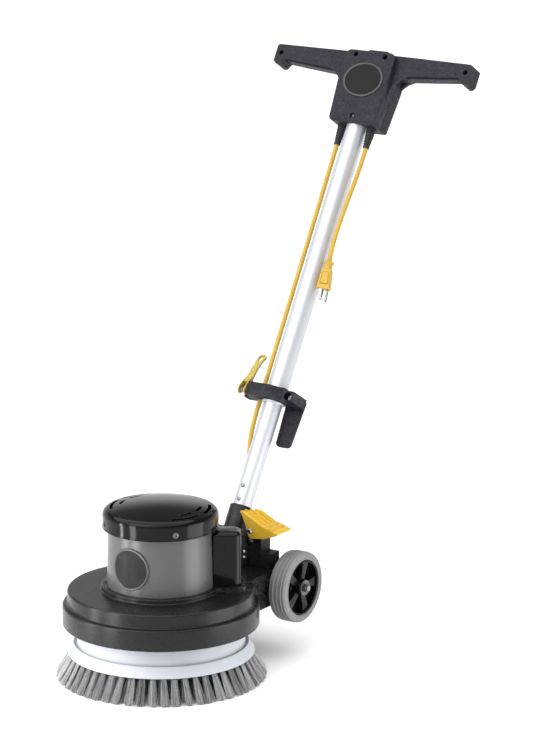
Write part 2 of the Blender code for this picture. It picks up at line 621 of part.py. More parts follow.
def head_fittings(frame):
    badge = [(0.0415 * math.cos(a), 0.8850 + 0.0330 * math.sin(a))
             for a in (2 * math.pi * i / 24 for i in range(24))]
    prism("head_badge", badge, HEAD_FRONT - 0.0015, HEAD_FRONT - GAP, frame, "black_satin", "Y")
    box("power_switch", (-0.0180, 0.0180), (-0.0120, 0.0120), (0.8750, 0.9050), frame,
        "black_matt")
    box("safety_lock_button", (-0.0180, 0.0230), (-0.0100, 0.0100), (0.9255, 0.9465), frame,
        "charcoal_plastic")
    for side in (-1, 1):
        label = "left" if side < 0 else "right"
        hinge = empty("trigger_pivot_" + label, frame, (side * 0.1820, 0, 0.9110))
        outline = [(0.1220, -0.0115), (-0.0020, -0.0005), (-0.0040, 0.0060), (0.1220, 0.0025)]
        prism("trigger_" + label, [(-side * a, b) for a, b in outline], -0.0102, 0.0102, hinge,
              "charcoal_plastic", "Y")
        relief = [
            (0.0046, 0.7635), (0.0062, 0.7635), (0.0090, 0.7990), (0.0090, 0.8027),
            (0.0072, 0.8027), (0.0072, 0.8068), (0.0100, 0.8068), (0.0100, 0.8090),
            (0.0046, 0.8090),
        ]
        turned("strain_relief_" + label, relief, frame, "black_rubber", (side * CORD_X, 0, 0),
               sides=12)


# ---- cords and plug ----
PLUG_TURN = (math.pi, math.radians(-5.0), math.radians(17.6))
BLADE_SPREAD = 0.00635         # half the distance between the plug's blades
MOTOR_CORD_UPPER = [
    (-0.0310, 0.0, 0.7720), (-0.0310, 0.0, 0.7600), (-0.0308, 0.0, 0.7400), (-0.0303, 0.0, 0.6500),
    (-0.0299, 0.0, 0.5400), (-0.0295, 0.0, 0.4200), (-0.0291, 0.0, 0.3200), (-0.0290, 0.0, 0.2720),
]
MOTOR_CORD_LOWER = [
    (-0.0290, 0.0, 0.2640), (-0.0290, 0.0002, 0.2450), (-0.0290, 0.0015, 0.2250),
    (-0.0288, 0.0045, 0.2050), (-0.0280, 0.0100, 0.1850), (-0.0264, 0.0170, 0.1670),
    (-0.0240, 0.0240, 0.1510), (-0.0204, 0.0286, 0.1370), (-0.0165, 0.0250, 0.1235),
    (-0.0144, 0.0219, 0.1143), (-0.0123, 0.0187, 0.1050),
]
POWER_CORD = [
    (0.0310, 0.0, 0.7720), (0.0312, 0.0, 0.7600), (0.0318, -0.0010, 0.7440),
    (0.0322, -0.0025, 0.7250), (0.0323, -0.0045, 0.7000), (0.0318, -0.0065, 0.6750),
    (0.0310, -0.0082, 0.6480), (0.0302, -0.0093, 0.6230), (0.0297, -0.0098, 0.6010),
    (0.0295, -0.0096, 0.5820), (0.0298, -0.0089, 0.5650), (0.0306, -0.0083, 0.5520),
    (0.0316, -0.0080, 0.5410),
]


def smooth_path(route, step):
    """Evenly spaced points along a Catmull-Rom curve through the route's own points."""
    pts = [Vector(p) for p in route]
    pts = [2 * pts[0] - pts[1]] + pts + [2 * pts[-1] - pts[-2]]
    fine = []
    for a, b, c, d in zip(pts, pts[1:], pts[2:], pts[3:]):
        for i in range(16):
            t = i / 16
            fine.append(0.5 * (2 * b + (c - a) * t + (2 * a - 5 * b + 4 * c - d) * t * t
                               + (3 * b - a - 3 * c + d) * t ** 3))
    fine.append(pts[-2])
    length = sum((q - p).length for p, q in zip(fine, fine[1:]))
    count = max(2, round(length / step))
    even = [fine[0]]
    walked = 0.0
    for p, q in zip(fine, fine[1:]):
        gap = (q - p).length
        while len(even) < count and walked + gap >= length * len(even) / count:
            share = (length * len(even) / count - walked) / gap
            even.append(p.lerp(q, share))
        walked += gap
    even.append(fine[-1])
    return even


def cord(name, route, step, frame, look="cord_yellow"):
    curve = bpy.data.curves.new(name, "CURVE")
    curve.dimensions = "3D"
    curve.bevel_depth = CORD_R
    curve.bevel_resolution = 2
    curve.use_fill_caps = True
    points = smooth_path(route, step)
    spline = curve.splines.new("POLY")
    spline.points.add(len(points) - 1)
    for spot, point in zip(spline.points, points):
        spot.co = (*point, 1.0)
    curve.materials.append(finish(look))
    obj = bpy.data.objects.new(name, curve)
    bpy.context.scene.collection.objects.link(obj)
    obj.parent = frame
    return obj


def tapered_box(name, sections, parent, look):
    """A box whose size changes along z: (height, half x, half y) of each section."""
    bm = bmesh.new()
    rings = []
    for height, half_x, half_y in sections:
        outline = rounded(-half_x, half_x, -half_y, half_y, 0.003)
        rings.append([bm.verts.new((x, y, height)) for x, y in outline])
    for one, two in zip(rings, rings[1:]):
        for i in range(len(one)):
            j = (i + 1) % len(one)
            bm.faces.new((one[i], one[j], two[j], two[i]))
    bm.faces.new(rings[0])
    bm.faces.new(rings[-1])
    return add_object(name, bm, parent, look)


def plug(frame):
    """The mains plug at the free cord's end; its own z runs from the cord to the pins."""
    place = empty("plug_frame", frame, POWER_CORD[-1])
    place.rotation_euler = PLUG_TURN
    sections = [(0.0145, 0.0080, 0.0074), (0.0165, 0.0090, 0.0082), (0.0480, 0.0118, 0.0094),
                (0.0520, 0.0122, 0.0098)]
    body = tapered_box("power_plug", sections, place, "cord_yellow")
    collar = [(0, GAP), (0.0090, GAP), (0.0093, 0.0035), (0.0078, 0.0045), (0.0074, 0.0170),
              (0, 0.0170)]
    join(body, turned("collar_tool", collar, place, None, sides=20))
    for name, y in (("plug_blade_left", -BLADE_SPREAD), ("plug_blade_right", BLADE_SPREAD)):
        cut(body, box(name + "_slot", (-0.0075, -0.0005), (y - 0.0011, y + 0.0011),
                      (0.0450, 0.06), place))
        box(name, (-0.0072, -0.0008), (y - 0.00075, y + 0.00075), (0.0453, 0.0705), place, "zinc")
    cut(body, rod("ground_slot", 0.0027, 0.0450, 0.06, place, None, (0.0079, 0, 0), sides=12))
    rod("plug_ground_pin", 0.0024, 0.0453, 0.0765, place, "zinc", (0.0079, 0, 0), sides=12)


def screw_recesses(frame):
    """Recesses for the head's screws and the screws at the ends of its grips."""
    cover = bpy.data.objects["head_front_cover"]
    spots = [(-0.031, 0.9335, -0.0240), (0.031, 0.9335, -0.0240), (0, 0.8135, -0.0240),
             (-0.1975, 0.9240, -0.0120), (0.1975, 0.9240, -0.0120)]
    for x, s, bottom in spots:
        cut(cover, rod("screw_recess", 0.0036, -0.04, bottom, frame, None, (x, 0, s), "Y", 12))


def main():
    clear_scene()
    root = empty("machine_frame", None, (0, BRUSH_AXIS_Y, 0))
    deck_housing(root)
    gearbox(root)
    brush(root)
    motor(root)
    motor_cap(root)
    motor_badge(root)
    capacitor(root)
    for side in (-1, 1):
        wheel(side, root)
    axle(root)
    handle_bracket(root)
    foot_pedal(root)
    handle = empty("handle_pivot", root, PIVOT, -HANDLE_LEAN)
    lower_handle(handle)
    upper_tube(handle)
    clamp(handle)
    cord_hook(handle)
    cam_lever(handle)
    head_covers(handle)
    head_fittings(handle)
    screw_recesses(handle)
    cord("motor_cord_upper", MOTOR_CORD_UPPER, 0.020, handle)
    cord("motor_cord_lower", MOTOR_CORD_LOWER, 0.011, handle)
    cord("power_cord", POWER_CORD, 0.014, handle)
    plug(handle)


main()
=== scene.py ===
"""Looks of the rotary floor machine: fine shapes, cords, bristles and materials on its frame."""

import json
import math
import random

import bmesh
import bpy
import numpy as np
from mathutils import Euler, Matrix, Vector

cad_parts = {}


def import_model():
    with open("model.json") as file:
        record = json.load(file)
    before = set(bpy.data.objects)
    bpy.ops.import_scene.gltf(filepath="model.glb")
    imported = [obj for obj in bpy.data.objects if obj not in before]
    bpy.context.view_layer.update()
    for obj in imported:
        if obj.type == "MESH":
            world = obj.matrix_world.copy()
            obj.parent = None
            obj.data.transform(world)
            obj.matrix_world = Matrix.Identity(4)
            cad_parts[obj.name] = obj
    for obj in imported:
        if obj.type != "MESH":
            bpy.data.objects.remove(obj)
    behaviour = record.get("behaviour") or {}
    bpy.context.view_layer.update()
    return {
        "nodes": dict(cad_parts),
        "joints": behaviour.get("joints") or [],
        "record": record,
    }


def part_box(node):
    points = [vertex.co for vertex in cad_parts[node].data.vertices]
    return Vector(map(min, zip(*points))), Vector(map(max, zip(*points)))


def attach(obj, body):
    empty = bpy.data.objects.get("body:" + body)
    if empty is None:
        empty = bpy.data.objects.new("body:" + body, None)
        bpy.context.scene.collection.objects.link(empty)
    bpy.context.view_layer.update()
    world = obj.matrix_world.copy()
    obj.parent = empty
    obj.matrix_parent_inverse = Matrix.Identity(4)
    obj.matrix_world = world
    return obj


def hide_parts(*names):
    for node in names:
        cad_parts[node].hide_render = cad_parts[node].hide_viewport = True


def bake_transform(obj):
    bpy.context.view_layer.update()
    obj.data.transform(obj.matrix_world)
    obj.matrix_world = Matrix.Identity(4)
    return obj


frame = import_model()
JOINTS = {joint["name"]: joint for joint in frame["joints"]}


def middle(node):
    low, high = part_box(node)
    return (low + high) / 2


# ---- places, from the frame ----
BRUSH_Y = middle("brush_block").y
TILT_AT = Vector(JOINTS["handle_tilt"]["pos_m"])
TUBE_AXIS = Vector(JOINTS["handle_extend"]["axis"])
LEAN = math.atan2(TUBE_AXIS.y, TUBE_AXIS.z)
AXLE = middle("wheel_axle")
PEDAL_AT = Vector(JOINTS["pedal_press"]["pos_m"])
DECK_LOW, DECK_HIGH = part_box("deck_housing")
# BASE stands on the brush's axis; HANDLE starts at the tilt pin, with Z up the tubes
BASE = Matrix.Translation((0, BRUSH_Y, 0))
HANDLE = Matrix.Translation(TILT_AT) @ Matrix.Rotation(-LEAN, 4, "X")
IDENTITY = Matrix.Identity(4)

GAP = 0.0003               # clearance between fitted pieces
SKIRT_R = DECK_HIGH.x
TIER_R = 0.1626
DECK_TOP = 0.157
COLLAR_R = 0.103
COLLAR_TOP = DECK_HIGH.z
MOTOR_LOW, MOTOR_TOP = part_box("motor_shell")[0].z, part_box("motor_shell")[1].z
MOTOR_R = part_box("motor_shell")[1].x
MOTOR_TOP_R = MOTOR_R - 0.0028
CAP_LOW, CAP_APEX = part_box("motor_cap")[0].z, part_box("motor_cap")[1].z
CAP_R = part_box("motor_cap")[1].x
CAP_BAND_TOP = 0.2900
VENTS = [(0.0822, 0.0880, 42.0), (0.0676, 0.0732, 27.0)]   # radii and end angle of the slots
CAPACITOR_ANGLE = math.radians(35)
WHEEL_R = 0.0635
RIM_R = 0.0497
BRISTLE_TIP_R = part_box("brush_bristles")[1].x
BRISTLE_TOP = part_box("brush_bristles")[1].z
LOWER_TUBE_R = 0.0172
UPPER_TUBE_R = 0.01905
CORD_R = 0.00425
CORD_X = 0.031
TILT_HOLE_R = 0.0067
BOLT_HOLE_R = 0.0034
AXLE_HOLE_R = 0.0051
HEAD_LOW = 0.803
HEAD_TOP = 0.941
HEAD_FRONT = -0.0275
HEAD_REAR = 0.028
GRIP_END = 0.2085
PARTING = 0.003            # depth of the seam between the head's two covers
CLAMP_LOW, CLAMP_TOP = 0.2700, 0.2940
CLAMP_BOLT_X, CLAMP_BOLT_S = 0.044, 0.278
TRIGGER_PIVOT_X, TRIGGER_PIVOT_S = 0.1820, 0.9110


# ---- materials ----
class Nodes:
    """A material's node tree, with short calls for the few kinds of node used here."""

    def __init__(self, name, colour, roughness, metallic=0.0):
        self.mat = bpy.data.materials.new(name)
        self.mat.use_nodes = True
        self.tree = self.mat.node_tree
        self.shader = self.tree.nodes["Principled BSDF"]
        self.shader.inputs["Base Color"].default_value = (*colour, 1)
        self.shader.inputs["Roughness"].default_value = roughness
        self.shader.inputs["Metallic"].default_value = metallic
        self.mat.diffuse_color = (*colour, 1)

    def add(self, kind, **values):
        node = self.tree.nodes.new(kind)
        for key, value in values.items():
            if key in node.inputs:
                node.inputs[key].default_value = value
            else:
                setattr(node, key, value)
        return node

    def link(self, out, into):
        self.tree.links.new(out, into)

    def place(self, stretch=(1, 1, 1), turn=(0, 0, 0)):
        coords = self.add("ShaderNodeTexCoord")
        mapping = self.add("ShaderNodeMapping", Scale=stretch, Rotation=turn)
        self.link(coords.outputs["Object"], mapping.inputs["Vector"])
        return mapping.outputs["Vector"]

    def noise(self, scale, detail=4.0, vector=None, roughness=0.55):
        node = self.add("ShaderNodeTexNoise", Scale=scale, Detail=detail, Roughness=roughness)
        self.link(vector or self.place(), node.inputs["Vector"])
        return node.outputs["Fac"]

    def spread(self, value, low, high, from_low=0.3, from_high=0.7):
        ends = {"From Min": from_low, "From Max": from_high, "To Min": low, "To Max": high}
        node = self.add("ShaderNodeMapRange", **ends)
        self.link(value, node.inputs["Value"])
        return node.outputs["Result"]

    def mix(self, factor, one, two):
        node = self.add("ShaderNodeMix", data_type="RGBA")
        self.link(factor, node.inputs["Factor"])
        for socket, colour in ((node.inputs["A"], one), (node.inputs["B"], two)):
            if isinstance(colour, tuple):
                socket.default_value = (*colour, 1)
            else:
                self.link(colour, socket)
        return node.outputs["Result"]

    def mottle(self, colour, amount, scale, detail=5.0):
        """Slight light and dark patches of the same colour."""
        dark = tuple(c * (1 - amount) for c in colour)
        light = tuple(min(1.0, c * (1 + amount)) for c in colour)
        return self.mix(self.spread(self.noise(scale, detail), 0, 1), dark, light)

    def wear(self, base, worn, strength):
        """A lighter, rubbed colour along the outer edges."""
        edge = self.add("ShaderNodeAttribute", attribute_name="edge_wear")
        patchy = self.spread(self.noise(160, 6), 0, strength, 0.42, 0.62)
        both = self.add("ShaderNodeMath", operation="MULTIPLY")
        self.link(edge.outputs["Fac"], both.inputs[0])
        self.link(patchy, both.inputs[1])
        return self.mix(both.outputs["Value"], base, worn)

    def colour(self, socket):
        self.link(socket, self.shader.inputs["Base Color"])

    def roughness(self, low, high, scale, detail=4.0):
        patchy = self.spread(self.noise(scale, detail), low, high)
        self.link(patchy, self.shader.inputs["Roughness"])

    def bump(self, height, distance, strength=1.0):
        node = self.add("ShaderNodeBump", Distance=distance, Strength=strength)
        self.link(height, node.inputs["Height"])
        self.link(node.outputs["Normal"], self.shader.inputs["Normal"])


def painted(name, base, shine, patches, roughness, grain, worn=None, metallic=0.0,
            specular=None):
    """A base colour with faint patches, edges rubbed to another colour, and a fine grain.

    patches is (amount, scale), roughness is (low, high, scale), grain is (scale, detail,
    height in metres) and worn is (colour, strength).
    """
    look = Nodes(name, base, shine, metallic)
    if specular is not None:
        look.shader.inputs["Specular IOR Level"].default_value = specular
    tint = look.mottle(base, *patches)
    if worn:
        tint = look.wear(tint, *worn)
    look.colour(tint)
    look.roughness(*roughness)
    scale, detail, height = grain
    look.bump(look.noise(scale, detail), height)
    return look.mat


def charcoal(name, tint):
    look = Nodes(name, tint, 0.52)
    look.shader.inputs["Specular IOR Level"].default_value = 0.26
    look.colour(look.wear(look.mottle(tint, 0.55, 300), tuple(c * 2.6 for c in tint), 0.7))
    look.roughness(0.50, 0.66, 90)
    cells = look.add("ShaderNodeTexVoronoi", Scale=430)
    look.link(look.place(), cells.inputs["Vector"])
    look.bump(cells.outputs["Distance"], 0.00055, 1.0)
    return look.mat


def anodised_tube():
    look = Nodes("bright_tube_metal", (0.60, 0.615, 0.655), 0.42, 0.70)
    along = look.place((900, 900, 6), (LEAN, 0, 0))
    grain = look.noise(1.0, 3, along)
    look.colour(look.mix(look.spread(grain, 0, 1), (0.58, 0.595, 0.635), (0.62, 0.635, 0.675)))
    look.link(look.spread(grain, 0.40, 0.46), look.shader.inputs["Roughness"])
    look.bump(grain, 0.00002)
    return look.mat


def copper():
    look = Nodes("winding_copper", (0.60, 0.28, 0.15), 0.40, 1.0)
    look.colour(look.mottle((0.60, 0.28, 0.15), 0.2, 150))
    look.bump(look.noise(500, 3, look.place((1, 1, 5))), 0.0002)
    return look.mat


def bristle():
    look = Nodes("grey_bristle", (0.26, 0.26, 0.262), 0.50)
    strand = look.add("ShaderNodeAttribute", attribute_name="strand_shade")
    fine = look.noise(700, 2, look.place((1, 1, 0.08)))
    tone = look.add("ShaderNodeMath", operation="ADD")
    look.link(strand.outputs["Fac"], tone.inputs[0])
    look.link(look.spread(fine, -0.15, 0.15, 0.35, 0.65), tone.inputs[1])
    look.colour(look.mix(tone.outputs["Value"], (0.045, 0.045, 0.047), (0.50, 0.50, 0.505)))
    look.roughness(0.38, 0.56, 500)
    look.bump(fine, 0.0001)
    return look.mat


def yellow_moulding():
    mat = painted("yellow_moulding", (0.56, 0.345, 0.022), 0.40, (0.06, 30), (0.34, 0.46, 80),
                  (600, 3, 0.00008), worn=((0.76, 0.54, 0.10), 0.5))
    shader = mat.node_tree.nodes["Principled BSDF"]
    shader.inputs["Subsurface Weight"].default_value = 0.05
    shader.inputs["Subsurface Radius"].default_value = (0.004, 0.002, 0.0006)
    return mat


BADGE_RIM = painted("badge_rim", (0.055, 0.055, 0.055), 0.34, (0.06, 120), (0.26, 0.42, 200),
                    (1200, 2, 0.00003), metallic=0.3)
LOOKS = {
    "black_satin": painted("black_satin_coat", (0.0075, 0.0075, 0.0080), 0.30, (0.08, 9),
                           (0.24, 0.31, 45), (120, 2, 0.00001),
                           worn=((0.045, 0.045, 0.047), 0.45), specular=0.24),
    "black_matt": painted("black_matt_paint", (0.0060, 0.0060, 0.0064), 0.50, (0.15, 14),
                          (0.42, 0.54, 50), (900, 4, 0.00006),
                          worn=((0.035, 0.035, 0.037), 0.5), specular=0.22),
    "black_gloss": painted("black_gloss_moulding", (0.0032, 0.0032, 0.0035), 0.10, (0.15, 12),
                           (0.09, 0.14, 40), (40, 2, 0.00003),
                           worn=((0.016, 0.016, 0.017), 0.4), specular=0.18),
    "grey_paint": painted("motor_grey_paint", (0.072, 0.072, 0.074), 0.30, (0.02, 8),
                          (0.27, 0.32, 30), (150, 2, 0.00001), worn=((0.20, 0.20, 0.20), 0.5)),
    "charcoal_plastic": charcoal("charcoal_grained_moulding", (0.0155, 0.0145, 0.0215)),
    "charcoal_dark": charcoal("charcoal_clamp_moulding", (0.0125, 0.0120, 0.0160)),
    "safety_yellow": yellow_moulding(),
    "cord_yellow": painted("yellow_cord_jacket", (0.52, 0.325, 0.036), 0.48, (0.08, 60),
                           (0.42, 0.56, 120), (900, 3, 0.00008)),
    "bright_tube": anodised_tube(),
    "zinc": painted("zinc_plated_steel", (0.33, 0.335, 0.35), 0.30, (0.10, 220),
                    (0.22, 0.40, 300), (1500, 2, 0.00003), metallic=1.0),
    "steel": painted("dark_steel", (0.14, 0.14, 0.15), 0.36, (0.15, 180), (0.28, 0.46, 260),
                     (1200, 2, 0.00003), metallic=1.0),
    "copper": copper(),
    "grey_tyre": painted("grey_tyre_rubber", (0.155, 0.155, 0.157), 0.60, (0.06, 35),
                         (0.50, 0.72, 80), (750, 4, 0.0001), worn=((0.26, 0.26, 0.26), 0.7)),
    "black_rubber": painted("black_rubber", (0.011, 0.011, 0.012), 0.62, (0.2, 60),
                            (0.52, 0.72, 120), (900, 3, 0.0001)),
    "white_plastic": painted("white_brush_block", (0.43, 0.45, 0.49), 0.50, (0.04, 22),
                             (0.42, 0.58, 60), (380, 5, 0.00012)),
    "grey_bristle": bristle(),
    "badge_black": painted("badge_black", (0.010, 0.010, 0.011), 0.40, (0.1, 60),
                           (0.36, 0.44, 30), (120, 2, 0.00001), specular=0.14),
    "lever_yellow": painted("lever_yellow", (0.36, 0.265, 0.030), 0.36, (0.08, 40),
                            (0.30, 0.42, 80), (500, 3, 0.00006),
                            worn=((0.60, 0.48, 0.12), 0.6)),
}


def paint_cad_nodes():
    """Every CAD node gets its slot's finished material; most visible ones are replaced below."""
    slots = {part["node"]: part["material_slot"] for part in frame["record"]["subparts"]}
    for node, obj in frame["nodes"].items():
        obj.data.materials.clear()
        obj.data.materials.append(LOOKS[slots[node]])


# ---- mesh builders ----
def add_object(name, data):
    obj = bpy.data.objects.new(name, data)
    bpy.context.scene.collection.objects.link(obj)
    return obj


def moved(place, x=0.0, y=0.0, z=0.0):
    return place @ Matrix.Translation((x, y, z))


def new_object(name, bm, place=IDENTITY):
    bmesh.ops.recalc_face_normals(bm, faces=bm.faces)
    mesh = bpy.data.meshes.new(name)
    bm.to_mesh(mesh)
    bm.free()
    obj = add_object(name, mesh)
    obj.matrix_world = place
    return obj


AXIS_TURN = {
    "Z": IDENTITY,
    "X": Matrix.Rotation(math.pi / 2, 4, "Y"),
    "-X": Matrix.Rotation(-math.pi / 2, 4, "Y"),
    "Y": Matrix.Rotation(-math.pi / 2, 4, "X"),
}


def turns(count):
    return [2 * math.pi * i / count for i in range(count)]


def ring_of(bm, points):
    return [bm.verts.new(point) for point in points]


def stitch(bm, rings):
    """Faces between neighbouring rings; a ring of one point closes to a fan."""
    for one, two in zip(rings, rings[1:]):
        count = max(len(one), len(two))
        for i in range(count):
            j = (i + 1) % count
            corners = [one[i % len(one)], one[j % len(one)], two[j % len(two)], two[i % len(two)]]
            corners = list(dict.fromkeys(corners))
            if len(corners) > 2:
                bm.faces.new(corners)


def turned(name, profile, place=IDENTITY, axis="Z", sides=96):
    """A closed (radius, height) profile spun about its own Z, then laid along axis."""
    bm = bmesh.new()
    rings = []
    for radius, height in profile:
        rings.append(ring_of(bm, [(radius * math.cos(a), radius * math.sin(a), height)
                                  for a in turns(sides if radius else 1)]))
    stitch(bm, rings)
    if profile[0][0] or profile[-1][0]:
        stitch(bm, [rings[-1], rings[0]])
    return new_object(name, bm, place @ AXIS_TURN[axis])


def rod(name, radius, low, high, place=IDENTITY, axis="Z", sides=48):
    return turned(name, [(0, low), (radius, low), (radius, high), (0, high)], place, axis, sides)


def tube(name, outer, inner, low, high, place=IDENTITY, axis="Z", sides=64):
    profile = [(outer, low), (outer, high), (inner, high), (inner, low)]
    return turned(name, profile, place, axis, sides)


def prism(name, outline, low, high, place=IDENTITY, axis="Z"):
    """A flat outline given depth along axis; it lists (x, y), (x, z) or (y, z) points."""
    lay = {
        "Z": lambda a, b, h: (a, b, h),
        "Y": lambda a, b, h: (a, h, b),
        "X": lambda a, b, h: (h, a, b),
    }[axis]
    bm = bmesh.new()
    base = ring_of(bm, [lay(a, b, low) for a, b in outline])
    top = ring_of(bm, [lay(a, b, high) for a, b in outline])
    bm.faces.new(base)
    bm.faces.new(top)
    stitch(bm, [base, top])
    return new_object(name, bm, place)


def box(name, x, y, z, place=IDENTITY):
    outline = [(x[0], y[0]), (x[1], y[0]), (x[1], y[1]), (x[0], y[1])]
    return prism(name, outline, z[0], z[1], place)


def arc(cx, cy, radius, start, end, steps):
    """Points along an arc, angles in degrees."""
    angles = [math.radians(start + (end - start) * i / steps) for i in range(steps + 1)]
    return [(cx + radius * math.cos(a), cy + radius * math.sin(a)) for a in angles]


def rounded(x0, x1, y0, y1, radius, steps=8):
    """A rectangle's outline with round corners."""
    return (
        arc(x1 - radius, y1 - radius, radius, 0, 90, steps)
        + arc(x0 + radius, y1 - radius, radius, 90, 180, steps)
        + arc(x0 + radius, y0 + radius, radius, 180, 270, steps)
        + arc(x1 - radius, y0 + radius, radius, 270, 360, steps)
    )


def softened(points, radius, steps=4):
    """A closed outline with each corner rounded by up to radius."""
    out = []
    count = len(points)
    for i in range(count):
        before, at, after = (Vector(points[k % count]) for k in (i - 1, i, i + 1))
        reach = min(radius, 0.45 * (before - at).length, 0.45 * (after - at).length)
        start = at + (before - at).normalized() * reach
        end = at + (after - at).normalized() * reach
        for k in range(steps + 1):
            t = k / steps
            point = start * (1 - t) ** 2 + at * 2 * t * (1 - t) + end * t * t
            out.append((point.x, point.y))
    return out


def combine(obj, tools, operation):
    for tool in tools:
        step = obj.modifiers.new(tool.name, "BOOLEAN")
        step.operation = operation
        step.solver = "EXACT"
        step.object = tool
    return obj


def cut(obj, *tools):
    return combine(obj, tools, "DIFFERENCE")


def join(obj, *tools):
    return combine(obj, tools, "UNION")


def mark_edges(mesh):
    """Stores how convex the surface is at each vertex, for wear along the edges."""
    bm = bmesh.new()
    bm.from_mesh(mesh)
    values = np.zeros(len(bm.verts), np.float32)
    for vert in bm.verts:
        angles = [edge.calc_face_angle_signed(0.0) for edge in vert.link_edges]
        if angles:
            values[vert.index] = min(1.0, max(0.0, max(angles) * 2.2 - 0.25))
    bm.free()
    layer = mesh.attributes.new("edge_wear", "FLOAT", "POINT")
    layer.data.foreach_set("value", values)


def used_tools(obj):
    """The objects that obj's modifiers use, and those that their own modifiers use."""
    tools = {step.object for step in obj.modifiers if step.type == "BOOLEAN"}
    for tool in list(tools):
        tools |= used_tools(tool)
    return tools


def done(obj, body, look, bevel=0.0006, nodes=(), smooth=38, steps=2):
    """Applies the modifiers, softens the edges, paints the piece and lets it ride on its body."""
    if bevel:
        soft = obj.modifiers.new("soft_edges", "BEVEL")
        soft.width = bevel
        soft.segments = steps
        soft.limit_method = "ANGLE"
        soft.angle_limit = math.radians(28)
    even = obj.modifiers.new("even_normals", "WEIGHTED_NORMAL")
    even.keep_sharp = True
    obj.data.shade_smooth()
    bpy.context.view_layer.update()
    graph = bpy.context.evaluated_depsgraph_get()
    mesh = bpy.data.meshes.new_from_object(obj.evaluated_get(graph))
    tools = used_tools(obj)
    obj.modifiers.clear()
    obj.data = mesh
    mesh.transform(obj.matrix_world)
    obj.matrix_world = IDENTITY
    mesh.name = obj.name
    mesh.materials.clear()
    mesh.materials.append(LOOKS[look])
    mesh.set_sharp_from_angle(angle=math.radians(smooth))
    mark_edges(mesh)
    for tool in tools:
        bpy.data.objects.remove(tool)
    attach(obj, body)
    if nodes:
        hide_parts(*nodes)
    return obj


def screw_head(name, place, axis, body, look="zinc", radius=0.0040, height=0.0026, washer=0.0):
    """A pan head with a cross recess, its underside at the origin of place, facing -axis."""
    dome = [(0, -height), (radius * 0.55, -height), (radius * 0.85, -height * 0.75),
            (radius, -height * 0.25), (radius, 0.0), (0, 0.0)]
    head = turned(name, dome, place, axis, 32)
    if washer:
        join(head, turned(name + "_washer", [(0, -0.0009), (washer, -0.0009), (washer, 0.0),
                                             (0, 0.0)], place, axis, 32))
    turn = place @ AXIS_TURN[axis]
    for spin in (0, math.pi / 2):
        bar = box(name + "_recess", (-radius * 0.62, radius * 0.62), (-0.0005, 0.0005),
                  (-height - 0.001, -height * 0.45), turn @ Matrix.Rotation(spin + 0.5, 4, "Z"))
        cut(head, bar)
    return done(head, body, look, 0.00015)


# ---- deck, motor and brush ----
def deck():
    profile = [
        (0, DECK_LOW.z), (0.1688, DECK_LOW.z), *arc(0.1688, DECK_LOW.z + 0.0022, 0.0022, -75, 0, 4),
        (SKIRT_R, 0.1280), *arc(SKIRT_R - 0.0034, 0.1284, 0.0034, 10, 75, 5), (0.1655, 0.1325),
        *arc(0.1656, 0.1355, 0.0030, 255, 185, 4), (TIER_R, 0.1530),
        *arc(TIER_R - 0.0038, DECK_TOP - 0.0038, 0.0038, 10, 82, 6), (0.1060, DECK_TOP),
        *arc(0.1060, DECK_TOP + 0.0028, 0.0028, 262, 188, 4), (COLLAR_R, 0.1632),
        *arc(COLLAR_R - 0.0026, COLLAR_TOP - 0.0026, 0.0026, 10, 82, 5), (0, COLLAR_TOP),
    ]
    body = turned("deck_casting", profile, BASE, sides=160)
    rear = rounded(-0.107, 0.107, 0.100, DECK_HIGH.y - BRUSH_Y, 0.008)
    join(body, prism("rear_tool", rear, DECK_LOW.z, DECK_TOP, BASE))
    turn = BASE @ Matrix.Rotation(CAPACITOR_ANGLE, 4, "Z")
    lobe = rounded(0.080, 0.1475, -0.0345, 0.0345, 0.012, 10)
    join(body, prism("lobe_tool", lobe, 0.150, COLLAR_TOP - 0.0002, turn))
    cavity = [
        (0, 0.080), (0.1655, 0.080), (0.1655, 0.1270), (0.1570, 0.1290), (0.1570, 0.151),
        (0.0815, 0.151), (0.0815, 0.1158), (0.0755, 0.1158), (0.0755, 0.1500), (0, 0.1500),
    ]
    cut(body, turned("cavity_tool", cavity, BASE, sides=96))
    inside = rounded(-0.101, 0.101, 0.1745, 0.254, 0.004)
    cut(body, prism("block_tool", inside, 0.080, 0.151, BASE))
    cut(body, rod("well_tool", 0.0943, 0.1590, 0.180, BASE, sides=128))
    cut(body, rod("bore_tool", 0.0081, 0.145, 0.165, BASE))
    cut(body, rod("axle_tool", 0.0052, -0.12, 0.12, Matrix.Translation(AXLE), "X"))
    seat = rounded(0.0835, 0.1405, -0.0275, 0.0275, 0.0100, 10)
    cut(body, prism("seat_tool", seat, 0.1655, 0.18, turn))
    done(body, "machine", "black_satin", 0.0012, ["deck_housing"], steps=3)


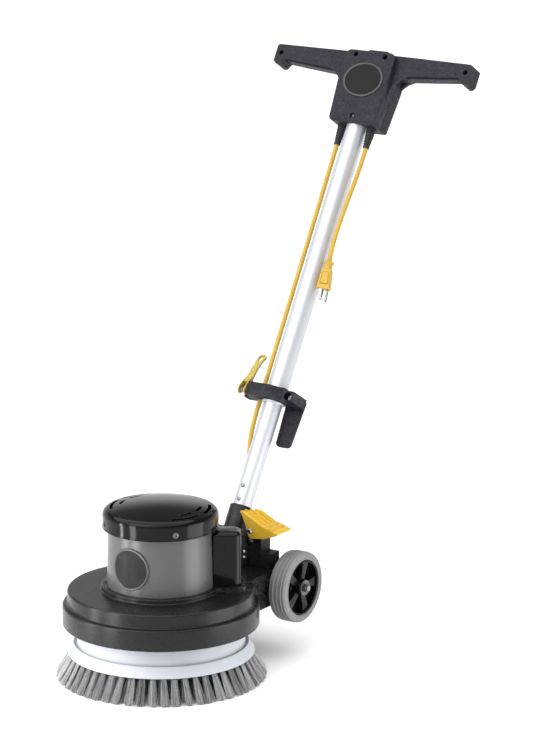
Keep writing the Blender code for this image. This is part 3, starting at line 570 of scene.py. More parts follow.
def motor():
    shell = [(MOTOR_R, MOTOR_LOW), (MOTOR_R, MOTOR_LOW + 0.004), (MOTOR_TOP_R, MOTOR_TOP - 0.004),
             (MOTOR_TOP_R - 0.0004, MOTOR_TOP), (0.0875, MOTOR_TOP), (0.0875, MOTOR_LOW)]
    done(turned("motor_drum", shell, BASE, sides=144), "machine", "grey_paint", 0.0004,
         ["motor_shell"])
    shoulder_r = 0.0115
    shoulder = arc(CAP_R - shoulder_r, CAP_BAND_TOP, shoulder_r, 0, 80, 16)
    edge, edge_z = shoulder[-1]

    def dome(radius, drop=0.0):
        return (radius, CAP_APEX - drop - (CAP_APEX - edge_z) * (radius / edge) ** 2)

    outer = [dome(0.009 * k) for k in range(9, -1, -1)]
    inner = [dome(r, 0.0028) for r in (0, 0.020, 0.040, 0.060, 0.080, 0.0885)]
    skirt = [(CAP_R - 0.0004, CAP_LOW), (CAP_R + 0.0002, CAP_LOW + 0.0006),
             (CAP_R + 0.0002, CAP_LOW + 0.0026), (CAP_R - 0.0004, CAP_LOW + 0.0032)]
    wall = [(0.0975, CAP_BAND_TOP - 0.001), (0.0975, 0.2740), (0.0880, 0.2720),
            (0.0880, 0.2693), (0.0912, 0.2693), (0.0912, CAP_LOW)]
    cap = turned("motor_hood", skirt + shoulder + outer + inner + wall, BASE, sides=160)
    for half in (0, math.pi):
        for low, high, end in VENTS:
            for side in (-1, 1):
                slot = arc(0, 0, low, side * 5.5, side * end, 14)
                slot += arc(0, 0, high, side * end, side * 5.5, 14)
                tool = prism("vent_tool", slot, 0.28, 0.34, BASE @ Matrix.Rotation(half, 4, "Z"))
                cut(cap, tool)
    done(cap, "machine", "black_gloss", 0.0005, ["motor_cap"])
    for i in range(4):
        around = BASE @ Matrix.Rotation(math.radians(-40 + 90 * i), 4, "Z")
        spot = moved(around, CAP_R - 0.0002, 0, 0.2790)
        screw_head("cap_screw_%d" % (i + 1), spot, "-X", "machine", "steel", 0.0036, washer=0.0052)


def pillow(name, place, low, shoulder, top):
    """A round-cornered box whose top swells up from its shoulder to a soft crown."""
    sections = [(low, 0.0), (shoulder, 0.0)]
    sections += [(shoulder + (top - shoulder) * math.sin(math.radians(a)),
                  0.0105 * (1 - math.cos(math.radians(a)))) for a in (15, 30, 45, 60, 75)]
    rings = []
    bm = bmesh.new()
    for height, inset in sections:
        outline = rounded(0.0760 + inset, 0.1390 - inset, -0.0260 + inset, 0.0260 - inset,
                          0.0130 - inset * 0.4, 10)
        rings.append(ring_of(bm, [(x, y, height) for x, y in outline]))
    stitch(bm, rings)
    bm.faces.new(rings[0])
    centre = bm.verts.new((0.1080, 0, top + 0.0006))
    last = rings[-1]
    for i in range(len(last)):
        bm.faces.new((last[i], last[(i + 1) % len(last)], centre))
    return new_object(name, bm, place)


def capacitor():
    turn = BASE @ Matrix.Rotation(CAPACITOR_ANGLE, 4, "Z")
    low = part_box("capacitor_box")[0].z
    case = pillow("capacitor_case", turn, low, 0.2550, 0.2612)
    inside = rounded(0.0780, 0.1368, -0.0238, 0.0238, 0.0110)
    cut(case, prism("hollow_tool", inside, 0.150, 0.2500, turn))
    cut(case, rod("drum_tool", MOTOR_R + 0.0010, 0.140, 0.2675, BASE, sides=128))
    done(case, "machine", "black_gloss", 0.0018, ["capacitor_box"], steps=3)


def paint_rim(badge, rows, steps):
    """Gives the named rings of faces, counted from the middle, the rim's material."""
    badge.data.materials.append(BADGE_RIM)
    for row in rows:
        for i in range(steps):
            badge.data.polygons[row * steps + i].material_index = 1


def motor_badge():
    """A plain round plate with a raised rim, lying on the drum's curved front."""
    steps = 64
    middle_z = 0.2130
    rings = [(0.0, 0.0022), (0.0180, 0.0022), (0.0325, 0.0022), (0.0335, 0.0029), (0.0362, 0.0029),
             (0.0370, 0.0022), (0.0370, 0.0006)]
    slope = (MOTOR_R - MOTOR_TOP_R) / (MOTOR_TOP - MOTOR_LOW)

    def on_drum(across, height, lift):
        radius = MOTOR_R - (middle_z + height - MOTOR_LOW) * slope + lift - 0.0002
        around = -math.pi / 2 + across / MOTOR_R
        return (radius * math.cos(around), radius * math.sin(around), middle_z + height)

    bm = bmesh.new()
    rows = []
    for share, lift in rings + [(0.0, 0.0006)]:
        rows.append(ring_of(bm, [on_drum(share * math.cos(a), share * math.sin(a), lift)
                                 for a in turns(steps if share else 1)]))
    stitch(bm, rows)
    badge = new_object("motor_plate", bm, BASE)
    done(badge, "machine", "badge_black", 0, ["motor_badge"])
    paint_rim(badge, (3, 4, 5), steps)


def brush_block():
    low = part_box("brush_block")[0].z
    block = [
        (0.0600, low), (0.1612, low), *arc(0.1610, low + 0.0014, 0.0014, -60, 25, 4),
        (0.1523, 0.0623), (0.1508, 0.0618), (0.1496, 0.0598), (0.1468, 0.0598), (0.1462, 0.0640),
        (0.1462, 0.0720), (0.1455, 0.0800), (0.1440, 0.0885), (0.0600, 0.0885),
    ]
    done(turned("brush_body", block, BASE, sides=144), "brush", "white_plastic", 0.0004,
         ["brush_block"])


# radius of the row, tufts in it, strands in a tuft, radius at the tips
TUFT_ROWS = [(0.1560, 54, 54, 0.1815), (0.1470, 50, 40, 0.1715), (0.1370, 46, 22, 0.1590),
             (0.1230, 40, 14, 0.1440), (0.1080, 34, 12, 0.1260), (0.0930, 28, 10, 0.1080)]


def bristle_tufts():
    """Rows of splayed tufts; every strand has its own lean, length and shade of grey."""
    rng = random.Random(7)
    bm = bmesh.new()
    shade = bm.verts.layers.float.new("strand_shade")
    for row, (root_r, count, strands, tip_r) in enumerate(TUFT_ROWS):
        for tuft in range(count):
            around = 2 * math.pi * (tuft + 0.5 * (row % 2)) / count
            lean = rng.uniform(-0.0044, 0.0044)
            tone = rng.uniform(-0.16, 0.14)
            for _ in range(strands):
                spin = rng.uniform(0, 2 * math.pi)
                reach = math.sqrt(rng.random())
                out, side = reach * math.cos(spin), reach * math.sin(spin)
                root = Vector((root_r + 0.0026 * out, 0.0046 * side, BRISTLE_TOP + 0.0015))
                tip = Vector((min(tip_r + 0.0040 * out, BRISTLE_TIP_R - 0.0008),
                              0.0068 * side + lean + rng.uniform(-0.0034, 0.0034),
                              rng.uniform(0.0, 0.0048)))
                middle_at = root.lerp(tip, 0.5) + Vector((-0.0008, rng.uniform(-0.0003, 0.0003), 0))
                made = add_strand(bm, [root, middle_at, tip], 0.00048, around)
                grey = min(1.0, max(0.0, rng.gauss(0.52, 0.24) + tone))
                for vert in made:
                    vert[shade] = grey
    tufts = new_object("bristle_tufts", bm, BASE)
    tufts.data.transform(tufts.matrix_world)
    tufts.matrix_world = IDENTITY
    tufts.data.materials.append(LOOKS["grey_bristle"])
    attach(tufts, "brush")
    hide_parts("brush_bristles")


def add_strand(bm, points, radius, angle):
    """One three-sided filament through points, turned about the brush's axis by angle."""
    turn = Matrix.Rotation(angle, 3, "Z")
    sides = [Vector((math.cos(2.1 * k), math.sin(2.1 * k), 0)) * radius for k in range(3)]
    rings = [ring_of(bm, [turn @ (point + side) for side in sides]) for point in points]
    stitch(bm, rings)
    bm.faces.new(rings[0])
    bm.faces.new(rings[-1])
    return [vert for ring in rings for vert in ring]


# ---- wheels ----
def wheel(side):
    label = "left" if side < 0 else "right"
    body = "wheel_" + label
    place = Matrix.Translation((0, AXLE.y, AXLE.z))
    axis = "X" if side > 0 else "-X"
    tread = []
    for k in range(3):
        x = 0.1240 + 0.0080 * k
        tread += [(WHEEL_R - 0.0003, x - 0.0012), (WHEEL_R, x + 0.0010)]
        tread += [(WHEEL_R - 0.0013, x + 0.0018), (WHEEL_R - 0.0013, x + 0.0062)]
    tyre = [
        (RIM_R, 0.1150), (0.0520, 0.1140), (0.0565, 0.1141), (0.0600, 0.1150), (0.0622, 0.1170),
        *tread[:-1], (0.0628, 0.1462), (0.0612, 0.1478), (0.0600, 0.1478), (0.0597, 0.1487),
        (0.0570, 0.1499), (0.0545, 0.1500), (0.0540, 0.1492), (0.0528, 0.1492), (0.0524, 0.1499),
        (0.0508, 0.1500), (RIM_R, 0.1490),
    ]
    done(turned(body + "_tyre", tyre, place, axis, 128), body, "grey_tyre", 0.0003,
         ["tyre_" + label])
    bore = AXLE_HOLE_R
    rim = RIM_R - GAP
    hub = [
        (bore, 0.1080), (0.0100, 0.1080), (0.0120, 0.1260), (0.0440, 0.1260), (0.0440, 0.1180),
        (rim, 0.1180), (rim, 0.1478), (rim - 0.0008, 0.1486), (0.0474, 0.1486), (0.0462, 0.1474),
        (0.0448, 0.1350), (0.0430, 0.1328), (0.0180, 0.1328), (0.0162, 0.1345), (0.0150, 0.1495),
        (0.0145, 0.1500), (bore, 0.1500),
    ]
    core = turned(body + "_hub", hub, place, axis, 96)
    for i in range(5):
        turn = place @ AXIS_TURN[axis] @ Matrix.Rotation(math.radians(90 + 72 * i), 4, "Z")
        outline = [(0.0120, -0.0052), (0.0300, -0.0062), (0.0458, -0.0092), (0.0458, 0.0092),
                   (0.0300, 0.0062), (0.0120, 0.0052)]
        join(core, prism("spoke_tool", outline, 0.1300, 0.1440, turn))
    done(core, body, "black_gloss", 0.0022, ["wheel_hub_" + label], steps=3)
    washer = tube("wheel_washer_" + label, 0.0140, bore, 0.1503, 0.1525, place, axis)
    done(washer, "machine", "steel", 0.0003, ["axle_washer_" + label])
    nut = prism("wheel_nut_" + label, arc(0, 0, 0.0079, 0, 300, 5), 0.1528, 0.1580,
                place @ AXIS_TURN[axis] @ Matrix.Rotation(0.3, 4, "Z"))
    cut(nut, rod("nut_bore_tool", bore, 0.14, 0.17, place, axis))
    done(nut, "machine", "steel", 0.0006, ["axle_nut_" + label])


# ---- bracket and pedal ----
def bracket():
    px, pz = PEDAL_AT.x, PEDAL_AT.z
    lug = arc(px, pz, 0.0095, -20, 200, 20)
    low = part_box("handle_bracket")[0].z
    outline = [
        (-0.099, low), (0.099, low), (0.099, 0.1845), (0.080, 0.1845), (0.080, 0.2085),
        (0.0734, 0.2105), *lug, (0.0556, 0.2105), (0.050, 0.2150), (0.0345, 0.2150),
        (0.0345, 0.1600), (-0.0345, 0.1600), (-0.0345, 0.2150), (-0.050, 0.2150),
        (-0.0500, 0.2085), (-0.080, 0.2085), (-0.080, 0.1845), (-0.099, 0.1845),
    ]
    body = prism("handle_support", outline, 0.193, 0.222, BASE, "Y")
    for side in (-1, 1):
        x = sorted((side * 0.0345, side * 0.0500))
        join(body, box("cheek_tool", x, (0.1715, 0.200), (low, 0.2150), BASE))
    cut(body, rod("pivot_tool", TILT_HOLE_R, -0.12, 0.0630, Matrix.Translation(TILT_AT), "X"))
    cut(body, rod("pedal_tool", BOLT_HOLE_R, -0.06, 0.03, Matrix.Translation(PEDAL_AT), "Y"))
    done(body, "machine", "black_matt", 0.0009, ["handle_bracket"])
    for i, z in enumerate((0.1845, 0.1740)):
        spot = moved(BASE, 0.0498, 0.183, z)
        screw_head("bracket_screw_%d" % (i + 1), spot, "-X", "machine", radius=0.0043,
                   height=0.0032)
    stop = moved(BASE, 0.059, 0.1932, 0.2030)
    screw_head("pedal_stop", stop, "Y", "machine", "steel", 0.0046, 0.0040)


def pedal():
    px, pz = PEDAL_AT.x, PEDAL_AT.z
    low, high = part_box("foot_pedal")
    front, back = low.y - BRUSH_Y, high.y - BRUSH_Y
    top = [(0.0438, 0.2588), (0.0730, 0.2448), (0.0900, 0.2362), (0.1060, 0.2322),
           (0.1210, 0.2272)]
    under = [(x - 0.0015, z - 0.0032) for x, z in reversed(top)]
    body = prism("pedal_tread", top + under, front, back, BASE, "Y")
    plate = softened([
        (0.0438, 0.2585), (0.0730, 0.2440), (0.0900, 0.2355), (0.1060, 0.2315), (0.1190, 0.2262),
        (0.1171, 0.2229), (0.0950, 0.2150), (0.0750, 0.2122), (0.0650, 0.2119), (0.0605, 0.2150),
        (0.0568, 0.2300)], 0.002, 2)
    join(body, prism("front_tool", plate, front, front + 0.003, BASE, "Y"))
    join(body, prism("back_tool", plate, back - 0.003, back, BASE, "Y"))
    slope = math.atan2(0.2588 - 0.2448, 0.0730 - 0.0438)
    start = moved(BASE, 0.0438, 0, 0.2588) @ Matrix.Rotation(slope, 4, "Y")
    for y in (0.1925, 0.2036, 0.2147):
        join(body, box("rib_tool", (0.0020, 0.0480), (y - 0.0015, y + 0.0015), (-0.0020, 0.0024),
                       start))
    for x, z in ((0.0965, 0.2346), (0.1060, 0.2322), (0.1150, 0.2292)):
        place = moved(BASE, x, 0, z)
        join(body, box("cross_tool", (-0.0015, 0.0015), (0.1835, 0.2237), (-0.0020, 0.0022), place))
    corner = [(0.0400, 0.1790), (0.0432, 0.1790), (0.0582, 0.2280), (0.0400, 0.2280)]
    cut(body, prism("corner_tool", corner, pz, pz + 0.0600, BASE))
    cut(body, rod("bore_tool", BOLT_HOLE_R, -0.06, 0.06, Matrix.Translation(PEDAL_AT), "Y"))
    done(body, "pedal", "safety_yellow", 0.0006, ["foot_pedal"])
    spot = Matrix.Translation((px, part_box("pedal_bolt")[0].y + 0.0034, pz))
    screw_head("pedal_bolt_head", spot, "Y", "machine", "zinc", 0.0048, 0.0034)


# ---- handle ----
def yoke():
    tongue = arc(0, 0, 0.0190, 180, 360, 32) + [(0.0190, 0.0290), (-0.0190, 0.0290)]
    body = prism("yoke_casting", tongue, -0.0300, 0.0300, HANDLE, "X")
    barrel = [(0, 0.0180), (0.0215, 0.0180), (0.0215, 0.0700), (0.0205, 0.0720), (0, 0.0720)]
    join(body, turned("barrel_tool", barrel, HANDLE))
    cut(body, rod("socket_tool", LOWER_TUBE_R + GAP, 0.0447, 0.09, HANDLE, sides=96))
    cut(body, rod("pin_tool", TILT_HOLE_R, -0.05, 0.05, HANDLE, "X"))
    done(body, "lower_handle", "black_satin", 0.0012, ["yoke_socket"], steps=3)


def tubes():
    lower = tube("inner_tube", LOWER_TUBE_R, 0.0152, 0.0450, 0.7900, HANDLE, sides=96)
    groove = HANDLE @ Matrix.Rotation(math.radians(-13.5), 4, "Z")
    cut(lower, box("groove_tool", (-0.0005, 0.0005), (-0.0180, -0.0167), (0.06, 0.8), groove))
    done(lower, "lower_handle", "bright_tube", 0.0002, ["lower_tube"])
    for i, s in enumerate((0.0818, 0.1071)):
        spot = moved(HANDLE, 0, -LOWER_TUBE_R + 0.0002, s)
        screw_head("tube_screw_%d" % (i + 1), spot, "Y", "lower_handle")
    upper = tube("outer_tube", UPPER_TUBE_R, 0.01765, CLAMP_LOW, 0.8600, HANDLE, sides=96)
    cut(upper, box("slit_tool", (-0.0012, 0.0012), (0.010, 0.025), (0.2600, 0.3150), HANDLE))
    done(upper, "upper_handle", "bright_tube", 0.0003, ["upper_tube"])
    ring = [(0.0175, 0.2662), (0.0206, 0.2662), (0.0214, 0.2668), (0.0214, 0.2692),
            (0.0175, 0.2692)]
    done(turned("clamp_collar", ring, HANDLE), "upper_handle", "bright_tube", 0.0004,
         ["clamp_ring"])


def clamp():
    outline = softened([
        (-0.0430, -0.0300), (0.0040, -0.0300), (0.0150, -0.0215), (0.0270, -0.0215),
        (0.0330, -0.0300), (0.0540, -0.0300), (0.0540, 0.0200), (0.0120, 0.0200),
        *arc(0, 0, 0.0262, 80, 125, 8), (-0.0300, 0.0120), (-0.0600, 0.0120),
        (-0.0600, -0.0080), (-0.0450, -0.0100), (-0.0450, -0.0280)], 0.002, 3)
    body = prism("height_clamp", outline, CLAMP_LOW, CLAMP_TOP, HANDLE)
    cut(body, rod("tube_tool", UPPER_TUBE_R + GAP, 0.25, 0.31, HANDLE, sides=96))
    cut(body, rod("guide_tool", 0.0055, 0.25, 0.31, moved(HANDLE, -0.0290, 0, 0)))
    cut(body, box("step_tool", (0.0285, 0.06), (-0.04, 0.03), (0.2880, 0.31), HANDLE))
    cut(body, box("lug_tool", (-0.07, -0.0445), (-0.02, 0.02), (0.2860, 0.31), HANDLE))
    bolt = moved(HANDLE, CLAMP_BOLT_X, 0, CLAMP_BOLT_S)
    cut(body, rod("counterbore_tool", 0.0080, -0.04, -0.0150, bolt, "Y"))
    cut(body, rod("bolt_tool", BOLT_HOLE_R, -0.04, 0.03, bolt, "Y"))
    draw = moved(HANDLE, -0.054, 0, CLAMP_BOLT_S)
    cut(body, rod("draw_tool", BOLT_HOLE_R, -0.04, 0.03, draw, "Y"))
    done(body, "upper_handle", "charcoal_dark", 0.0010, ["tube_clamp"])
    socket = turned("clamp_socket_bolt", [(0, -0.0205), (0.0044, -0.0205), (0.0050, -0.0199),
                                          (0.0050, -0.0153), (0.0030, -0.0153), (0.0030, 0.0275),
                                          (0, 0.0275)], bolt, "Y", 48)
    key = prism("key_tool", arc(0, 0, 0.0028, 0, 300, 5), -0.03, -0.0175, bolt @ AXIS_TURN["Y"])
    cut(socket, key)
    done(socket, "upper_handle", "zinc", 0.0003, ["clamp_bolt"])
    hook = prism("hook_plate", softened([
        (0.0130, 0.2880), (0.0166, 0.1960), (0.0470, 0.1960), (0.0530, 0.2880)], 0.0085, 6),
        0.0203, 0.0248, HANDLE, "Y")
    boss = moved(HANDLE, 0.0345, 0, 0.2560)
    join(hook, rod("boss_tool", 0.0150, 0.0190, 0.0262, boss, "Y"))
    cut(hook, rod("hook_tool", BOLT_HOLE_R, 0.01, 0.04, bolt, "Y"))
    done(hook, "upper_handle", "charcoal_dark", 0.0008, ["cord_hook"])
    nut = prism("clamp_nut", arc(0, 0, 0.0058, 0, 300, 5), 0.0250, 0.0285, bolt @ AXIS_TURN["Y"])
    done(nut, "upper_handle", "zinc", 0.0004)


def cam_lever():
    joint = Vector(JOINTS["clamp_lever_swing"]["pos_m"])
    place = Matrix.Translation(joint) @ Matrix.Rotation(-LEAN - math.radians(22), 4, "X")
    profile = [
        *arc(0, 0, 0.0080, 180, 360, 18), (0.0068, 0.0160), (0.0030, 0.0300), (0.0016, 0.0480),
        (0.0022, 0.0680), (0.0045, 0.0835), (0.0028, 0.0850), (0.0005, 0.0846),
        (-0.0024, 0.0680), (-0.0034, 0.0480), (-0.0026, 0.0300), (-0.0070, 0.0160),
        (-0.0080, 0.0080),
    ]
    lever = prism("quick_lever", profile, -0.0090, 0.0090, place, "X")
    plan = [(-0.0070, -0.0100), (0.0070, -0.0100), (0.0062, 0.0300), (0.0062, 0.0580),
            *arc(0, 0.0762, 0.0084, -30, 210, 24), (-0.0062, 0.0580), (-0.0062, 0.0300)]
    combine(lever, [prism("plan_tool", plan, -0.02, 0.02, place, "Y")], "INTERSECT")
    cut(lever, box("stem_tool", (-0.0050, 0.0050), (-0.02, 0.02), (-0.02, 0.0140), place))
    eye = [*arc(0, 0.0752, 0.0044, -20, 200, 16), (0, 0.0600)]
    cut(lever, prism("eye_tool", eye, -0.02, 0.02, place, "Y"))
    cut(lever, rod("pin_tool", 0.0031, -0.02, 0.02, place, "X"))
    done(lever, "clamp_lever", "lever_yellow", 0.0007, ["cam_lever"])


# ---- head ----
def head_outline():
    right = [
        (0.0470, HEAD_LOW), (0.0500, 0.8500), (0.0545, 0.8760), (0.0610, 0.8890), (0.0700, 0.8985),
        (0.0840, 0.9052), (0.1870, 0.9136), *arc(0.1995, 0.9105, 0.0090, 195, 345, 8),
        (GRIP_END, 0.9150), (GRIP_END, 0.9370), (0.2050, HEAD_TOP - 0.001), (0.0700, HEAD_TOP),
    ]
    return right + [(-x, s) for x, s in reversed(right)]


def head_block():
    return [
        (-0.0470, HEAD_LOW), (0.0470, HEAD_LOW), (0.0525, 0.8800), (0.0525, 0.9330),
        (0.0460, HEAD_TOP), (-0.0460, HEAD_TOP), (-0.0525, 0.9330), (-0.0525, 0.8800),
    ]


def head():
    grip_front, grip_back = -0.0165, 0.0165
    outline = softened(head_outline(), 0.004, 4)
    block = softened(head_block(), 0.004, 4)
    front = prism("head_front_shell", outline, grip_front, PARTING - GAP / 2, HANDLE, "Y")
    rear = prism("head_rear_shell", outline, PARTING + GAP / 2, grip_back, HANDLE, "Y")
    join(front, prism("front_tool", block, HEAD_FRONT, PARTING - 0.00115, HANDLE, "Y"))
    join(rear, prism("rear_tool", block, PARTING + 0.00115, HEAD_REAR, HANDLE, "Y"))
    inside = [(-0.0435, 0.8065), (0.0435, 0.8065), (0.0485, 0.8800), (0.0485, 0.9250),
              (-0.0485, 0.9250), (-0.0485, 0.8800)]
    for cover in (front, rear):
        cut(cover, prism("hollow_tool", inside, -0.0245, 0.0250, HANDLE, "Y"))
        cut(cover, rod("tube_tool", UPPER_TUBE_R + GAP, 0.79, 0.83, HANDLE, sides=96))
        cut(cover, box("button_tool", (-0.0185, 0.0235), (-0.0105, 0.0105), (0.9200, 0.96), HANDLE))
        for side in (-1, 1):
            place = moved(HANDLE, side * CORD_X, 0, 0)
            cut(cover, rod("relief_tool", 0.0075, 0.79, 0.82, place))
            x = sorted((side * 0.0580, side * 0.1885))
            cut(cover, box("slot_tool", x, (-0.0108, 0.0108), (0.88, 0.9250), HANDLE))
    chamfer = [(HEAD_FRONT - 0.001, HEAD_LOW - 0.001), (HEAD_FRONT + 0.0055, HEAD_LOW - 0.001),
               (HEAD_FRONT - 0.001, HEAD_LOW + 0.0065)]
    cut(front, prism("chamfer_tool", chamfer, -0.06, 0.06, HANDLE, "X"))
    spots = [(-0.031, 0.9325, -0.0150), (0.031, 0.9325, -0.0150), (0, 0.8150, -0.0240),
             (-0.1975, 0.9240, -0.0060), (0.1975, 0.9240, -0.0060)]
    for x, s, bottom in spots:
        place = moved(HANDLE, x, 0, s)
        cut(front, rod("recess_tool", 0.0050, -0.04, bottom, place, "Y"))
    done(front, "upper_handle", "charcoal_plastic", 0.0021, ["head_front_cover"], steps=3)
    done(rear, "upper_handle", "charcoal_plastic", 0.0016, ["head_rear_cover"], steps=3)
    for i, (x, s, bottom) in enumerate(spots):
        place = moved(HANDLE, x, bottom + 0.0002, s)
        screw_head("head_screw_%d" % (i + 1), place, "Y", "upper_handle", "steel", 0.0031, 0.0016)


def head_plate():
    """A plain oval plate with a raised rim."""
    steps = 96
    badge_s, half_width, half_height = 0.8850, 0.0415, 0.0330
    rings = [(0.0, 0.0), (0.75, 0.0), (0.900, 0.0), (0.915, -0.0006), (0.975, -0.0006),
             (1.0, 0.0002), (1.0, 0.0012), (0.0, 0.0012)]
    bm = bmesh.new()
    rows = []
    for share, depth in rings:
        y = HEAD_FRONT - 0.0014 + depth
        spots = [(half_width * share * math.cos(a), half_height * share * math.sin(a))
                 for a in turns(steps if share else 1)]
        rows.append(ring_of(bm, [(x, y, badge_s + up) for x, up in spots]))
    stitch(bm, rows)
    plate = new_object("head_plate", bm, HANDLE)
    done(plate, "upper_handle", "badge_black", 0, ["head_badge"])
    paint_rim(plate, (2, 3, 4), steps)


def controls():
    button = prism("lock_key", rounded(-0.0180, 0.0230, -0.0100, 0.0100, 0.003), 0.9255, 0.9500,
                   HANDLE)
    done(button, "lock_button", "charcoal_plastic", 0.0012, ["safety_lock_button"], steps=3)
    for side in (-1, 1):
        label = "left" if side < 0 else "right"
        outline = [(0.1220, -0.0115), (-0.0020, -0.0005), (-0.0040, 0.0060), (0.1220, 0.0025)]
        points = [(side * (TRIGGER_PIVOT_X - a), TRIGGER_PIVOT_S + b) for a, b in outline]
        lever = prism("squeeze_bar_" + label, softened(points, 0.003), -0.0102, 0.0102, HANDLE, "Y")
        done(lever, label + "_trigger", "charcoal_plastic", 0.0014, ["trigger_" + label], steps=3)
        rings = [(0.0046, 0.7640), (0.0058, 0.7640)]
        for k in range(7):
            s = 0.7660 + 0.0048 * k
            radius = 0.0061 + 0.0004 * k
            rings += [(radius, s), (radius, s + 0.0028), (radius - 0.0010, s + 0.0031),
                      (radius - 0.0010, s + 0.0045)]
        rings += [(0.0090, 0.7995), (0.0090, 0.8027), (0.0072, 0.8027), (0.0072, 0.8068),
                  (0.0100, 0.8068), (0.0100, 0.8090), (0.0046, 0.8090)]
        place = moved(HANDLE, side * CORD_X, 0, 0)
        done(turned("cord_relief_" + label, rings, place, sides=48), "upper_handle",
             "black_rubber", 0.0003, ["strain_relief_" + label])


# ---- cords ----
PLUG_TURN = (math.pi, math.radians(-5.0), math.radians(17.6))
BLADE_SPREAD = 0.00635
MOTOR_CORD = [
    (-0.0310, 0.0, 0.7720), (-0.0310, 0.0, 0.7600), (-0.0308, 0.0, 0.7400), (-0.0303, 0.0, 0.6500),
    (-0.0299, 0.0, 0.5400), (-0.0295, 0.0, 0.4200), (-0.0291, 0.0, 0.3200), (-0.0290, 0.0, 0.2720),
    (-0.0290, 0.0, 0.2640), (-0.0290, 0.0002, 0.2450), (-0.0290, 0.0015, 0.2250),
    (-0.0288, 0.0045, 0.2050), (-0.0280, 0.0100, 0.1850), (-0.0264, 0.0170, 0.1670),
    (-0.0240, 0.0240, 0.1510), (-0.0204, 0.0286, 0.1370), (-0.0165, 0.0250, 0.1235),
    (-0.0144, 0.0219, 0.1143), (-0.0123, 0.0187, 0.1050),
]
POWER_CORD = [
    (0.0310, 0.0, 0.7720), (0.0312, 0.0, 0.7600), (0.0318, -0.0010, 0.7440),
    (0.0322, -0.0025, 0.7250), (0.0323, -0.0045, 0.7000), (0.0318, -0.0065, 0.6750),
    (0.0310, -0.0082, 0.6480), (0.0302, -0.0093, 0.6230), (0.0297, -0.0098, 0.6010),
    (0.0295, -0.0096, 0.5820), (0.0298, -0.0089, 0.5650), (0.0306, -0.0083, 0.5520),
    (0.0316, -0.0080, 0.5410),
]


def smooth_path(route, step):
    """Evenly spaced points along a Catmull-Rom curve through the route's own points."""
    pts = [Vector(p) for p in route]
    pts = [2 * pts[0] - pts[1]] + pts + [2 * pts[-1] - pts[-2]]
    fine = []
    for a, b, c, d in zip(pts, pts[1:], pts[2:], pts[3:]):
        for i in range(16):
            t = i / 16
            fine.append(0.5 * (2 * b + (c - a) * t + (2 * a - 5 * b + 4 * c - d) * t * t
                               + (3 * b - a - 3 * c + d) * t ** 3))
    fine.append(pts[-2])
    length = sum((q - p).length for p, q in zip(fine, fine[1:]))
    count = max(2, round(length / step))
    even = [fine[0]]
    walked = 0.0
    for p, q in zip(fine, fine[1:]):
        gap = (q - p).length
        while len(even) < count and walked + gap >= length * len(even) / count:
            share = (length * len(even) / count - walked) / gap
            even.append(p.lerp(q, share))
        walked += gap
    even.append(fine[-1])
    return even, length


def sweep(name, points, radius, sides=20):
    """A closed round tube along points, with the section carried smoothly from one to the next."""
    bm = bmesh.new()
    rings = []
    normal = Vector((1, 0, 0))
    for i, point in enumerate(points):
        ahead = points[min(i + 1, len(points) - 1)] - points[max(i - 1, 0)]
        tangent = ahead.normalized()
        normal = (normal - tangent * normal.dot(tangent)).normalized()
        other = tangent.cross(normal)
        rings.append(ring_of(bm, [point + (normal * math.cos(a) + other * math.sin(a)) * radius
                                  for a in turns(sides)]))
    stitch(bm, rings)
    bm.faces.new(rings[0])
    bm.faces.new(rings[-1])
    return new_object(name, bm)


def motor_cord():
    """One cord from the head to the lower tube."""
    route = [HANDLE @ Vector(p) for p in MOTOR_CORD]
    points, _ = smooth_path(route, 0.004)
    cord = sweep("motor_supply_cord", points, CORD_R)
    cord.data.shade_smooth()
    cord.data.materials.append(LOOKS["cord_yellow"])
    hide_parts("motor_cord_upper", "motor_cord_lower")
    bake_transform(cord)


def power_cord(plug_pieces):
    route = [HANDLE @ Vector(p) for p in POWER_CORD]
    points, length = smooth_path(route, 0.007)
    curve = bpy.data.curves.new("mains_cord", "CURVE")
    curve.dimensions = "3D"
    curve.bevel_depth = CORD_R
    curve.bevel_resolution = 6
    curve.use_fill_caps = True
    spline = curve.splines.new("POLY")
    spline.points.add(len(points) - 1)
    for spot, point in zip(spline.points, points):
        spot.co = (*point, 1.0)
    spline.use_smooth = True
    curve.materials.append(LOOKS["cord_yellow"])
    cord = add_object("mains_cord", curve)
    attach(cord, "upper_handle")
    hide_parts("power_cord")


